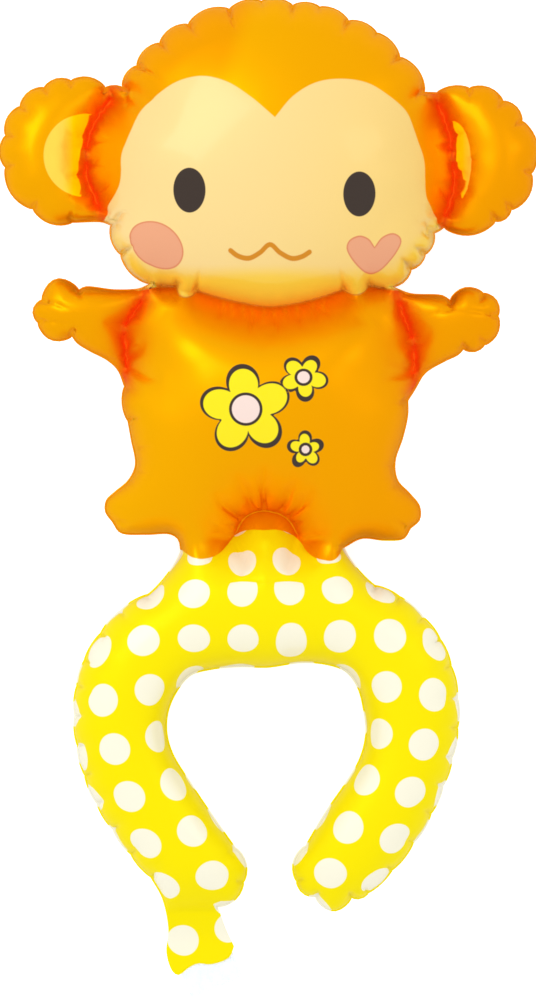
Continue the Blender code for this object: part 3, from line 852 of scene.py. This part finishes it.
# %% [markdown]
# ## Pressing in the creases
#
# A crease pushes the film in along its own normal. The groove is sharp at the bottom and has
# soft shoulders, and it fades towards its end.

# %% Groove the film
def eased(t):
    t = np.clip(t, 0, 1)
    return t * t * (3 - 2 * t)


GROOVE_SHARPNESS, FADE_IN, FADE_OUT = 1.3, 2.0, 1.05
SHOULDER_AT, SHOULDER_WIDTH, SHOULDER_HEIGHT = 2.6, 1.1, 0.16
GROOVE_ROOM = 4.0     # a groove is shallower where the film is lower than this


def crease_depth(where):
    """How deep the creases press each point in; a shoulder comes out as a small rise."""
    deepest = np.zeros(len(where))
    shoulder = np.zeros(len(where))
    for start, end, depth, width in creases:
        length = np.linalg.norm(end - start)
        along = (end - start) / length
        away = where - start
        walked = away @ along
        aside = np.abs(away @ np.array([-along[1], along[0]]))
        fade = eased(FADE_OUT - walked / length) * eased((walked + FADE_IN) / FADE_IN)
        groove = np.exp(-(aside / width) ** GROOVE_SHARPNESS)
        deepest = np.maximum(deepest, depth * fade * groove)
        rise = np.exp(-((aside - SHOULDER_AT * width) / (SHOULDER_WIDTH * width)) ** 2)
        shoulder = np.maximum(shoulder, SHOULDER_HEIGHT * depth * fade * rise)
    return deepest - shoulder


def normals(spots):
    """The film's normals, outwards."""
    corners = spots[bag_faces]
    flat = np.cross(corners[:, 1] - corners[:, 0], corners[:, 2] - corners[:, 0])
    summed = np.zeros_like(spots)
    for k in range(3):
        np.add.at(summed, bag_faces[:, k], flat)
    return summed / np.maximum(np.linalg.norm(summed, axis=1), 1e-12)[:, None]


SCALLOP, SCALLOP_WIDTH, SCALLOP_SHARPNESS = 1.7, 7.5, 1.5


def scallops(where):
    """How far each point swells out between two notches of the seam nearby."""
    swell = np.zeros(len(where))
    for i, (x, y) in enumerate(where):
        _, nearest, away = seam_tree.find((x, y, 0))
        if away < 3 * SCALLOP_WIDTH:
            falloff = math.exp(-(away / SCALLOP_WIDTH) ** SCALLOP_SHARPNESS) * min(1.0, away / 2)
            swell[i] = SCALLOP * (seam[nearest, 3] - FLAT_PUFF) * falloff
    return swell


free_point = ~pinned
groove = crease_depth(plan) * free_point
room = np.clip(tall / GROOVE_ROOM, 0, 1)
pressed = groove * room - scallops(plan) * free_point
out_front, out_back = open_bag(normals(bag(front, back)))
front -= out_front * pressed[:, None]
back -= out_back * pressed[:, None]
print("deepest groove:", round(float((groove * room).max()), 2), "mm")

# %% [markdown]
# ## How it lies
#
# The balloon lies on its back. The head is the thickest part, so the sheets' middle plane is
# highest there and falls towards the ring, with a slight fold at the neck and the crotch. Each
# part touches the floor, where the soft film goes flat. At the two folds the front film leans
# over the weld, and that's what gives the chin its overhang.

# %% Fold and lay it down
CONTACT_DEPTH = 1.5
NECK_FOLD_Y, CROTCH_FOLD_Y, RING_END_Y = 98.0, -24.0, -200.0
FOLD_WIDTH = 16.0
TAIL_DROOP, TAIL_FLAT_Y, TAIL_RIGHT_X = 6.0, -222.0, -14.0
TAPE_GAP = 0.3
NECK_LEAN, CROTCH_LEAN = (0.30, 45.0), (0.16, 16.0)   # share of the height, half width
LEAN_REACH, LEAN_ENDS = 11.0, 1.6


def lean(where, heights, weld_line, amount, half_width):
    """How far the film shifts towards the feet beside a fold."""
    line = weld_line[np.argsort(weld_line[:, 0])]
    middle = (line[0, 0] + line[-1, 0]) / 2
    away = np.abs(where[:, 1] - np.interp(where[:, 0], line[:, 0], line[:, 1]))
    across = eased(LEAN_ENDS - np.abs(where[:, 0] - middle) / half_width)
    return amount * heights * np.exp(-away / LEAN_REACH) * across


def bent_level(y, levels):
    """Height of the sheets' middle plane along the balloon."""
    head, crotch, ring_end = levels
    neck_side = np.interp(y, [CROTCH_FOLD_Y, NECK_FOLD_Y], [crotch, head])
    ring_side = np.interp(y, [RING_END_Y, CROTCH_FOLD_Y], [ring_end, crotch])
    at_neck = eased((y - NECK_FOLD_Y + FOLD_WIDTH) / (2 * FOLD_WIDTH))
    at_crotch = eased((CROTCH_FOLD_Y + FOLD_WIDTH - y) / (2 * FOLD_WIDTH))
    level = neck_side * (1 - at_neck) + head * at_neck
    return level * (1 - at_crotch) + ring_side * at_crotch


def lying_levels(y, depth_below, ring_end):
    """The levels at head, crotch and ring end that let the balloon rest on the floor."""
    head = float(depth_below[y > NECK_FOLD_Y + FOLD_WIDTH].max()) - CONTACT_DEPTH
    below_neck = y < NECK_FOLD_Y - FOLD_WIDTH
    low, high = 0.0, head
    for _ in range(40):
        crotch = (low + high) / 2
        level = bent_level(y[below_neck], (head, crotch, ring_end))
        if (level - depth_below[below_neck]).min() > -CONTACT_DEPTH:
            high = crotch
        else:
            low = crotch
    return head, crotch, ring_end


whole_neck = np.vstack([left_neck_weld, neck_weld, right_neck_weld])
front[:, 1] -= lean(plan, front[:, 2], whole_neck, *NECK_LEAN) * free_point
front[:, 1] -= lean(plan, front[:, 2], crotch_weld, *CROTCH_LEAN) * free_point
tape_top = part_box("tape_tab")[1][2] / MM
levels = lying_levels(back[:, 1], -back[:, 2], tape_top + TAPE_GAP + FILM + TAIL_DROOP)
drooping = eased((TAIL_TOP_Y - plan[:, 1]) / (TAIL_TOP_Y - TAIL_FLAT_Y))
droop = TAIL_DROOP * drooping * (plan[:, 0] < TAIL_RIGHT_X)
front[:, 2] += bent_level(front[:, 1], levels) - droop
back[:, 2] += bent_level(back[:, 1], levels) - droop
back[:, 2] = np.maximum(back[:, 2], 0.0)
print("middle plane at head, crotch and ring end:", [round(v, 1) for v in levels])

# %% [markdown]
# ## Where the dots go
#
# The dots were printed in straight rows on flat film, and only look squeezed because the film
# now curves away. So their rows are laid out on the film itself: Blender's Minimum Stretch
# unwrap flattens the front sheet again, nearly without changing any length, and the result is
# turned and scaled back to millimetres of film. The rows follow the ring's two arms as they
# bend, so each arm is turned back until it's straight, and the film that's tucked away below
# the crotch and at the filling neck is left out.

# %% Flatten the front sheet
BENDS = [  # side, where the bend starts, its centre, the radius that keeps its length, angle
    (-1, -108.5, 217.0, 138.5, 0.549),
    (1, -91.5, 250.0, 164.0, 0.638),
]
FOLDED_AWAY, FOLDED_AWAY_Y, FOLDED_AWAY_X = 10.0, -40.0, 26.0
TAIL_GATHER, TAIL_GATHER_Y, TAIL_GATHER_X, TAIL_GATHER_LENGTH = 10.0, -203.0, -12.0, 5.0
DOT_PITCH = 25.0 * MM
DOT_RADIUS = 8.0 * MM
DOT_AT = (-12.9, -70.4)
DOT_TILT = 0.04


def flattened():
    """Each point's place on the front sheet, as Blender's unwrap flattens it."""
    sheet = add_object("sheet", front * MM, faces)
    mesh = sheet.data
    bpy.context.view_layer.objects.active = sheet
    sheet.select_set(True)
    bpy.ops.object.mode_set(mode="EDIT")
    bpy.ops.mesh.select_all(action="SELECT")
    bpy.ops.uv.unwrap(method="MINIMUM_STRETCH", fill_holes=True, iterations=10)
    bpy.ops.object.mode_set(mode="OBJECT")
    uv = np.empty(len(mesh.loops) * 2)
    mesh.uv_layers.active.data.foreach_get("uv", uv)
    corner = np.empty(len(mesh.loops), int)
    mesh.loops.foreach_get("vertex_index", corner)
    flat = np.zeros((count, 2))
    flat[corner] = uv.reshape(-1, 2)
    bpy.data.objects.remove(sheet)
    return flat


def lined_up(flat):
    """Scale the flattened film to its true area and turn it to fit the plan."""
    a, b, c = (front[faces[:, k]] for k in range(3))
    true_area = np.linalg.norm(np.cross(b - a, c - a), axis=1).sum()
    a, b, c = (flat[faces[:, k]] for k in range(3))
    flat_area = np.abs(np.cross(b - a, c - a)).sum()
    flat = flat * math.sqrt(true_area / flat_area)
    flat -= flat.mean(axis=0)
    u, _, v = np.linalg.svd(flat.T @ (plan - plan.mean(axis=0)))
    return flat @ u @ v + plan.mean(axis=0)


def unbent(flat):
    """The flat film with the ring's two arms turned back, so that the dots' rows are straight."""
    place = flat.copy()
    for side, start_y, centre_x, radius, most in BENDS:
        x, y = side * flat[:, 0], start_y - flat[:, 1]
        from_centre = centre_x - x
        turned = np.arctan2(y, from_centre)
        reach = np.hypot(y, from_centre)
        bent = (y > 0) & (x > 0)
        bend = np.minimum(turned, most)
        straight_on = reach * np.sin(turned - bend)
        new_x = centre_x - reach * np.cos(turned - bend)
        new_y = start_y - radius * bend - straight_on
        place[bent, 0] = side * new_x[bent]
        place[bent, 1] = new_y[bent]
    return place


def gathered(place):
    """The film's places, with the film that's tucked away in two folds left out of the count."""
    x, y = plan.T
    below_crotch = np.exp(-(x / FOLDED_AWAY_X) ** 4) * eased(y - FOLDED_AWAY_Y + 0.5)
    at_tail = eased((TAIL_GATHER_Y - y) / TAIL_GATHER_LENGTH) * (x < TAIL_GATHER_X)
    return place + np.outer(FOLDED_AWAY * below_crotch + TAIL_GATHER * at_tail, (0, 1))


flat_place = lined_up(flattened())
film_place = gathered(unbent(flat_place))
print("the flat film spans", np.round(np.ptp(flat_place, axis=0), 1), "mm")

# %% [markdown]
# ## The film as one object
#
# The mesh carries what the materials need: the flattened place of each point as the UV map
# "film", one attribute for each print with the distance to its border, and others for the
# welded rim's tone and painted shade, the painted shade and painted glow in the folds, and the
# chin. Only the front sheet has the face and the chest picture; the ring's colour and its dots
# go all round.

# %% Make the balloon
UNPRINTED = 50.0      # a distance outside every print
# The TICK numbers shape lighter strokes cut into the painted fold shade below the chin, which are
# painted highlights.
TICK_SHARE, TICK_WIDTH, TICK_LENGTH, TICK_SPREAD = 0.95, 1.0, 6.0, 1.02
FOLD_SHADE_SHARPNESS = 1.4
# The fold lines carry painted shade: a deeper red-orange along the folds, for the shade and the
# orange-in-orange reflections there.
left_arm_fold = [(-60, 105), (-65.5, 95), (-71, 87), (-72, 80), (-70.5, 70), (-71, 61)]
right_arm_fold = [(63, 104.5), (67, 95), (71, 84), (73, 75), (73.5, 67), (72.5, 56)]
right_ear_fold = [(83, 201.5), (85, 196), (88, 189.5), (90.8, 179), (91.5, 171), (92.8, 162),
                  (92.2, 153.5), (89.3, 142.7), (86.5, 136.5)]
left_ear_fold = [(-76.5, 205.5), (-79.5, 198), (-84, 191.5), (-88.8, 182), (-90, 175),
                 (-90, 163), (-86, 151), (-82, 140.5)]
crotch_fold = [(-17, -17.5), (-11, -8.5), (-1.5, -5.5), (9, -9), (15.5, -18)]
FOLD_SHADE_LINES = [  # where, half the width, how much of the deeper colour
    (left_ear_fold, 4.2, 1.0), (right_ear_fold, 4.2, 1.0), (left_arm_fold, 5.0, 1.0),
    (right_arm_fold, 5.0, 1.0), (left_neck_weld - (0, 2.0), 4.5, 0.4),
    (neck_weld - (0, 3.0), 5.5, 0.42), (right_neck_weld - (0, 2.0), 4.5, 0.4), (crotch_fold, 2.5, 0.25)]
# Painted glow: the film beside the ear, arm and neck welds gives out light, standing in for light
# bounced between the orange walls of the folds.
PAINTED_GLOW_LINES = [(line, 1.1, 1.0) for line in ear_welds + arm_welds] + [(neck_weld - (0, 3.0), 4.0, 0.9)]
CHIN_AREA = np.array([(-84, 132), (-73.5, 117), (-61, 108), (-30, 107.5), (30, 107.5), (66, 108),
                      (75, 117), (87, 132), (87, 80), (-84, 80)])
balloon = add_object("balloon_film", bag(front, back) * MM, bag_faces)
ends = np.empty(2 * len(balloon.data.edges), int)
balloon.data.edges.foreach_get("vertices", ends)
on_seam = (ends.reshape(-1, 2) < on_edge).all(axis=1)
balloon.data.attributes.new(name="sharp_edge", type="BOOLEAN", domain="EDGE").data.foreach_set(
    "value", on_seam)
film_map = balloon.data.uv_layers.new(name="film")
corner = np.empty(len(balloon.data.loops), int)
balloon.data.loops.foreach_get("vertex_index", corner)
from_dot = film_place - film_place[np.argmin(np.sum((plan - DOT_AT) ** 2, axis=1))]
turn = np.array([[math.cos(DOT_TILT), -math.sin(DOT_TILT)], [math.sin(DOT_TILT), math.cos(DOT_TILT)]])
from_dot = from_dot @ turn
place = np.vstack([from_dot, from_dot[on_edge:]]) * MM
film_map.data.foreach_set("uv", place[corner].ravel())


def store(name, front_values, back_values):
    """One number for each point of the bag."""
    attribute = balloon.data.attributes.new(name, "FLOAT", "POINT")
    both = np.concatenate([front_values, back_values[on_edge:]])
    attribute.data.foreach_set("value", both.astype(np.float32))


for name, loops in PRINTS.items():
    distance = signed_distance(plan, loops)
    if name == "inner_ears":
        distance = np.maximum(distance, signed_distance(plan, EAR_SIDES))
    store(name, distance, distance if name == "ring" else np.full(count, UNPRINTED))
# The welded rim: its darker ink is partly the weld's own tone and partly painted shade.
flat_film = np.zeros(count)
flat_film[: 2 * on_edge] = 1.0
store("weld", flat_film, flat_film)
# Painted shade in the folds: how much of the deeper red-orange each point gets.
fold = np.zeros(count)
for line, width, share in FOLD_SHADE_LINES:
    away = away_from(np.array(line), plan)[0]
    fold = np.maximum(fold, share * np.exp(-(away / width) ** FOLD_SHADE_SHARPNESS))
# Painted highlights: lighter strokes cut into the fold's painted shade below the chin, along the
# gathers.
for start, end, _, _ in neck_fan():
    tip = np.array([start, (start[0] * TICK_SPREAD, start[1] - TICK_LENGTH)])
    fold *= 1 - TICK_SHARE * np.exp(-(away_from(tip, plan)[0] / TICK_WIDTH) ** 2)
store("fold", fold, fold)
# How strongly each point gives out the painted glow.
glow = np.zeros(count)
for line, width, share in PAINTED_GLOW_LINES:
    glow = np.maximum(glow, share * np.exp(-(away_from(line, plan)[0] / width) ** 2))
store("glow", glow, glow)
store("chin", signed_distance(plan, [CHIN_AREA]), np.full(count, UNPRINTED))
print("balloon:", len(balloon.data.polygons), "triangles")

# %% [markdown]
# ## The film's finish
#
# The film is plastic with a very thin layer of metal under the ink. The orange ink is
# translucent, so the metal shines through it and every reflection of orange in orange comes
# out deeper. In the folds that nearly red colour is painted into the ink as painted shade and
# painted reflection, and a painted glow lights the folds and the inner ears beside them. The
# orange and the cream also get a painted shade, deeper towards the lower right, as if lit from
# the upper left. The cream and the dots are opaque white ink first, so they look like plain
# gloss plastic. All of it is one material, whose masks pick the ink.

# %% Node helpers
class Nodes:
    """Short calls for building one node tree."""

    def __init__(self, tree):
        self.tree = tree

    def add(self, kind, label="", **settings):
        node = self.tree.nodes.new(kind)
        node.label = label
        for key, value in settings.items():
            setattr(node, key, value)
        return node

    def link(self, start, end):
        self.tree.links.new(start, end)

    def math(self, operation, first, second=None, clamp=False):
        node = self.add("ShaderNodeMath", operation=operation, use_clamp=clamp)
        for socket, value in zip(node.inputs, (first, second)):
            if isinstance(value, bpy.types.NodeSocket):
                self.link(value, socket)
            elif value is not None:
                socket.default_value = value
        return node.outputs[0]

    def stored(self, name):
        """The mesh's own number for each point."""
        return self.add("ShaderNodeAttribute", name, attribute_name=name).outputs["Fac"]

    def ramp(self, label, value, start, end, kind="LINEAR"):
        """0 at start and 1 at end."""
        node = self.add("ShaderNodeMapRange", label, clamp=True, interpolation_type=kind)
        node.inputs["From Min"].default_value = start
        node.inputs["From Max"].default_value = end
        self.link(value, node.inputs["Value"])
        return node.outputs["Result"]

    def step(self, label, value, start, end):
        """0 at start and 1 at end, smooth in between."""
        return self.ramp(label, value, start, end, "SMOOTHSTEP")

    def vector(self, operation, first, second=(0, 0, 0), output=0):
        node = self.add("ShaderNodeVectorMath", operation=operation)
        self.link(first, node.inputs[0])
        node.inputs[1].default_value = second
        return node.outputs[output]

    def noise(self, label, place, scale, detail):
        node = self.add("ShaderNodeTexNoise", label)
        node.inputs["Scale"].default_value = scale
        node.inputs["Detail"].default_value = detail
        self.link(place, node.inputs["Vector"])
        return node.outputs["Fac"]

    def mapped(self, label, place, scale, location=(0, 0, 0)):
        node = self.add("ShaderNodeMapping", label)
        node.inputs["Scale"].default_value = scale
        node.inputs["Location"].default_value = location
        self.link(place, node.inputs["Vector"])
        return node.outputs[0]

    def layers(self, base, *inks):
        """Each ink printed over the ones before it, given as its mask and its colour."""
        for mask, ink in inks:
            base = self.blend(mask, base, ink)
        return base

    def blend(self, factor, first, second, data_type="RGBA"):
        """first where factor is 0 and second where it is 1."""
        node = self.add("ShaderNodeMix", data_type=data_type)
        at = {"RGBA": (6, 7, 2), "FLOAT": (2, 3, 0)}[data_type]
        self.link(factor, node.inputs[0])
        for place, value in ((at[0], first), (at[1], second)):
            if isinstance(value, bpy.types.NodeSocket):
                self.link(value, node.inputs[place])
            else:
                node.inputs[place].default_value = value
        return node.outputs[at[2]]


def colour(red, green, blue):
    """A colour given as it's seen on a screen, 0 to 255, for a shader."""
    linear = [(v / 255 / 12.92 if v <= 10 else ((v / 255 + 0.055) / 1.055) ** 2.4)
              for v in (red, green, blue)]
    return (*linear, 1.0)


ORANGE = colour(254, 182, 0)
# Partly a random tone of the ink, partly painted shade towards the lower right; also used on the left
# ear and arm.
TONE_AND_SHADE_ORANGE = colour(250, 158, 0)
# Painted shade and reflection for the folds.
FOLD_SHADE_ORANGE = colour(244, 74, 12)
# Painted shade along the chin's lower edge, where the film turns down into the neck fold.
CHIN_EDGE_SHADE = colour(228, 128, 20)
CREAM = colour(252, 220, 146)
# Painted shade for the cream towards the lower right of the face.
SHADED_CREAM = colour(251, 210, 104)
CHIN_YELLOW = colour(254, 213, 70)
YELLOW = colour(255, 236, 8)
DOT = colour(255, 251, 228)
DARK = colour(52, 38, 34)
OCHRE = colour(217, 138, 10)
SALMON = colour(240, 168, 128)
SALMON_EDGE = colour(226, 136, 92)
EAR_YELLOW = colour(255, 208, 0)
PALE_EAR_YELLOW = colour(254, 222, 84)
PALE_PINK = colour(250, 226, 216)
# The welded rim's colour: the double film's darker tone together with painted shade under the bulging
# sheets.
WELD_TONE_AND_SHADE = colour(244, 146, 18)


# %% The ink masks and the film material
INK_EDGE, DOT_EDGE = 0.22, 0.008      # half the width of a soft edge, in mm and in dots' rows
# The ink turns deeper towards the lower right, a painted shade as if lit from the upper left; the
# clouds are a random tone of the ink.
PAINTED_SHADE_TO, DEEPER_CLOUDS, DEEPER_FROM = (5.0, -1.5, 0.0), 0.4, 0.25
OUTER_LEFT, OUTER_DEEPER = (-0.38, -0.45), 0.7
FOLD_SHADE_SHARE, WELD_SHARE = 0.95, 0.75
CHIN_FADE, DEEP_CREAM_FADE = (3.5, 11.5), (-0.4, 0.5)
# The chin rim sets a painted shade line along the lower edge of the face.
CHIN_RIM, CHIN_RIM_SHARE, CHEEK_RIM = (-1.3, -0.4), 0.8, (-0.9, -0.4)
# The last two are the strengths of the painted glow in the inner ears and in the folds.
PALE_EAR_FADE, EAR_PAINTED_GLOW, FOLD_PAINTED_GLOW = (0.096, 0.103), 0.3, 0.16
METALLIC = {"orange": 0.85, "ring": 0.15, "opaque": 0.12, "ear": 0.55, "fold": 0.2}
FOLD_DULLNESS = 0.6
COAT_ORANGE, COAT_OPAQUE = 0.03, 0.7
FILM_LOOK = {"Roughness": 0.38, "Specular Tint": colour(255, 228, 80), "IOR": 1.2,
             "Coat IOR": 1.45, "Coat Roughness": 0.12}


def dot_mask(nodes):
    """Round dots in straight rows on the flat film."""
    film = nodes.add("ShaderNodeUVMap", uv_map="film").outputs[0]
    place = nodes.mapped("rows of dots", film, (1 / DOT_PITCH, 1 / DOT_PITCH, 1), (0.5, 0.5, 0))
    centred = nodes.vector("SUBTRACT", nodes.vector("FRACTION", place), (0.5, 0.5, 0))
    reach = nodes.vector("LENGTH", centred, output="Value")
    radius = DOT_RADIUS / DOT_PITCH
    return nodes.ramp("dot", reach, radius + DOT_EDGE, radius - DOT_EDGE)


def film_ink(nodes, masks, dots, fold, place):
    """The colour of the ink with its painted shade, and where the inner ears get a painted glow."""
    # Painted shade: this grows towards the lower right, as if the light came from the upper left.
    across = nodes.vector("DOT_PRODUCT", place, PAINTED_SHADE_TO, "Value")
    clouds = nodes.noise("thickness of the ink", place, 9.0, 2.0)
    deeper = nodes.math("MULTIPLY", clouds, DEEPER_CLOUDS)
    outer = nodes.step("ear and arm on the left", across, *OUTER_LEFT)
    deeper = nodes.math("ADD", deeper, nodes.math("MULTIPLY", outer, OUTER_DEEPER))
    deeper = nodes.math("ADD", nodes.math("ADD", deeper, across), DEEPER_FROM, clamp=True)
    above_chin = nodes.step("chin", nodes.stored("chin"), *CHIN_FADE)
    # The cream also turns deeper towards the lower right: painted shade.
    cream = nodes.blend(nodes.step("deeper cream", across, *DEEP_CREAM_FADE), CREAM, SHADED_CREAM)
    cream = nodes.blend(above_chin, CHIN_YELLOW, cream)
    # Painted shade: a thin orange line along the chin's lower edge, the fold's tint carried onto the
    # cream.
    rim = nodes.step("line along the chin", nodes.stored("face"), *CHIN_RIM)
    near_chin = nodes.math("SUBTRACT", CHIN_RIM_SHARE, above_chin)
    cream = nodes.blend(nodes.math("MULTIPLY", rim, near_chin, clamp=True), cream, CHIN_EDGE_SHADE)
    sides = nodes.add("ShaderNodeSeparateXYZ", "left and right")
    nodes.link(place, sides.inputs[0])
    sideways = nodes.math("ABSOLUTE", sides.outputs[0])
    pale = nodes.step("paler away from the fold", sideways, *PALE_EAR_FADE)
    cheek_rim = nodes.ramp("cheek outline", nodes.stored("cheeks"), *CHEEK_RIM)
    ringless = nodes.math("SUBTRACT", 1.0, masks["ring"])
    # Darker ink on the welded rim, partly the weld's own tone and partly painted shade; the ring is
    # left out.
    welded = nodes.math("MULTIPLY", nodes.stored("weld"), nodes.math("MULTIPLY", ringless, WELD_SHARE))
    # The fold layer below is painted shade and reflection in the folds.
    ink = nodes.layers(
        nodes.blend(deeper, ORANGE, TONE_AND_SHADE_ORANGE),
        (nodes.math("MULTIPLY", fold, FOLD_SHADE_SHARE), FOLD_SHADE_ORANGE),
        (masks["face"], cream),
        (masks["inner_ears"], nodes.blend(pale, EAR_YELLOW, PALE_EAR_YELLOW)),
        (masks["cheeks"], nodes.blend(cheek_rim, SALMON, SALMON_EDGE)),
        (masks["eyes"], DARK),
        (masks["mouth"], OCHRE),
        (masks["chest_ink"], DARK),
        (masks["chest_fill"], YELLOW),
        (masks["chest_middle_ink"], DARK),
        (masks["chest_middle"], PALE_PINK),
        (masks["ring"], YELLOW),
        (dots, DOT),
        (welded, WELD_TONE_AND_SHADE),
    )
    # The second mask is the part of the inner ears, beside the fold, that gets a painted glow.
    return ink, nodes.math("MULTIPLY", masks["inner_ears"], nodes.math("SUBTRACT", 1.0, pale))


def film_material():
    made = bpy.data.materials.new("printed_film")
    made.use_nodes = True
    nodes = Nodes(made.node_tree)
    shader = made.node_tree.nodes["Principled BSDF"]
    for name, value in FILM_LOOK.items():
        shader.inputs[name].default_value = value
    place = nodes.add("ShaderNodeTexCoord").outputs["Object"]
    masks = {name: nodes.ramp(name, nodes.stored(name), INK_EDGE, -INK_EDGE) for name in PRINTS}
    dots = nodes.math("MULTIPLY", dot_mask(nodes), masks["ring"])
    fold = nodes.stored("fold")
    ink, narrow = film_ink(nodes, masks, dots, fold, place)
    nodes.link(ink, shader.inputs["Base Color"])
    # Painted glow: the folds and the inner ears beside them give out their own ink colour, though no
    # lamp is there.
    through = nodes.math("MULTIPLY", nodes.stored("glow"), FOLD_PAINTED_GLOW)
    through = nodes.math("ADD", through, nodes.math("MULTIPLY", narrow, EAR_PAINTED_GLOW))
    nodes.link(ink, shader.inputs["Emission Color"])
    nodes.link(through, shader.inputs["Emission Strength"])

    opaque = nodes.math("ADD", masks["face"], dots, clamp=True)
    opaque = nodes.math("ADD", opaque, masks["chest_ink"], clamp=True)
    shine = nodes.blend(masks["ring"], METALLIC["orange"], METALLIC["ring"], "FLOAT")
    shine = nodes.blend(opaque, shine, METALLIC["opaque"], "FLOAT")
    shine = nodes.blend(masks["inner_ears"], shine, METALLIC["ear"], "FLOAT")
    # The film is also less metallic under the fold's painted shade, so that the painted colour shows.
    folded = nodes.math("MULTIPLY", fold, FOLD_DULLNESS)
    nodes.link(nodes.blend(folded, shine, METALLIC["fold"], "FLOAT"), shader.inputs["Metallic"])
    gloss = nodes.math("ADD", opaque, masks["eyes"], clamp=True)
    gloss = nodes.blend(gloss, COAT_ORANGE, COAT_OPAQUE, "FLOAT")
    nodes.link(gloss, shader.inputs["Coat Weight"])

    drawn_out = nodes.mapped("longer across", place, (1.0, 0.28, 1.0))
    bump = nodes.add("ShaderNodeBump")
    bump.inputs["Strength"].default_value = 0.25
    bump.inputs["Distance"].default_value = 0.0008
    nodes.link(nodes.noise("slight ripples", drawn_out, 70.0, 1.5), bump.inputs["Height"])
    nodes.link(bump.outputs[0], shader.inputs["Normal"])
    return made


balloon.data.materials.append(film_material())

# %% [markdown]
# ## The tape
#
# A strip of clear tape closes the ring round an arm. The strip in the frame has the right
# shape already, so it only needs its finish: milky, smooth and see-through.

# %% Finish the tape
TAPE_ALPHA = (0.35, 0.6)


def tape_material():
    made = bpy.data.materials.new("clear_tape")
    made.use_nodes = True
    nodes = Nodes(made.node_tree)
    shader = made.node_tree.nodes["Principled BSDF"]
    shader.inputs["Base Color"].default_value = colour(236, 245, 255)
    shader.inputs["Roughness"].default_value = 0.25
    place = nodes.add("ShaderNodeTexCoord").outputs["Object"]
    haze = nodes.noise("milky patches", place, 220.0, 2.0)
    nodes.link(nodes.blend(haze, *TAPE_ALPHA, "FLOAT"), shader.inputs["Alpha"])
    return made


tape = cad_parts["tape_tab"]
tape.data.materials.clear()
tape.data.materials.append(tape_material())

# %% [markdown]
# ## Floor, light and camera
#
# A white floor, a bright even surround and a few large soft lights, as for a catalogue
# picture, with the camera straight above. The lens is long, so that the parts nearer to it
# don't look larger.

# %% The floor
FLOOR_SIZE, FLOOR_DROP = 6.0, -0.0003
FLOOR_WHITE, FLOOR_GLOW = 0.9, 0.75   # the glow is for the camera only


def floor_material():
    made = bpy.data.materials.new("pale_floor")
    made.use_nodes = True
    nodes = Nodes(made.node_tree)
    shader = made.node_tree.nodes["Principled BSDF"]
    shader.inputs["Base Color"].default_value = (FLOOR_WHITE, FLOOR_WHITE, FLOOR_WHITE, 1)
    shader.inputs["Roughness"].default_value = 0.9
    shader.inputs["Specular IOR Level"].default_value = 0.0
    shader.inputs["Emission Color"].default_value = (1, 1, 1, 1)
    seen = nodes.add("ShaderNodeLightPath")
    glow = nodes.math("MULTIPLY", seen.outputs["Is Camera Ray"], FLOOR_GLOW)
    nodes.link(glow, shader.inputs["Emission Strength"])
    return made


half = FLOOR_SIZE / 2
floor = add_object("floor", [(x, y, FLOOR_DROP) for x, y in
                             ((-half, -half), (half, -half), (half, half), (-half, half))],
                   [(0, 1, 2, 3)])
floor.data.materials.append(floor_material())

# %% The lights
def soft_light(name, place, aim, size, power):
    lamp = bpy.data.lights.new(name, "AREA")
    lamp.shape = "RECTANGLE"
    lamp.size, lamp.size_y = size
    lamp.energy = power
    made = bpy.data.objects.new(name, lamp)
    made.location = place
    made.rotation_euler = (Vector(aim) - Vector(place)).to_track_quat("-Z", "Y").to_euler()
    bpy.context.scene.collection.objects.link(made)


soft_light("key", (-1.0, 0.9, 1.6), (0, 0.05, 0.04), (1.2, 1.2), 7)
soft_light("fill", (1.3, 0.5, 1.3), (0, 0.0, 0.04), (0.5, 1.0), 1)
surround = bpy.data.worlds.new("surround")
surround.use_nodes = True
surround.node_tree.nodes["Background"].inputs["Color"].default_value = (1, 1, 1, 1)
surround.node_tree.nodes["Background"].inputs["Strength"].default_value = 0.92
bpy.context.scene.world = surround
bpy.context.scene.view_settings.view_transform = "Standard"

# %% The camera
CAMERA_HEIGHT = VIEWED_FROM * MM
VIEW_LENGTH = 0.5
lens = bpy.data.cameras.new("camera")
lens.lens = lens.sensor_width * CAMERA_HEIGHT / VIEW_LENGTH
camera = bpy.data.objects.new("camera", lens)
camera.location = (0, 0, CAMERA_HEIGHT + levels[1] * MM)
bpy.context.scene.collection.objects.link(camera)
bpy.context.scene.camera = camera

# %% [markdown]
# ## Hand over
#
# The film stands in for the plain solid of the frame, and the tape keeps its own.

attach(balloon, "root")
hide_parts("balloon")
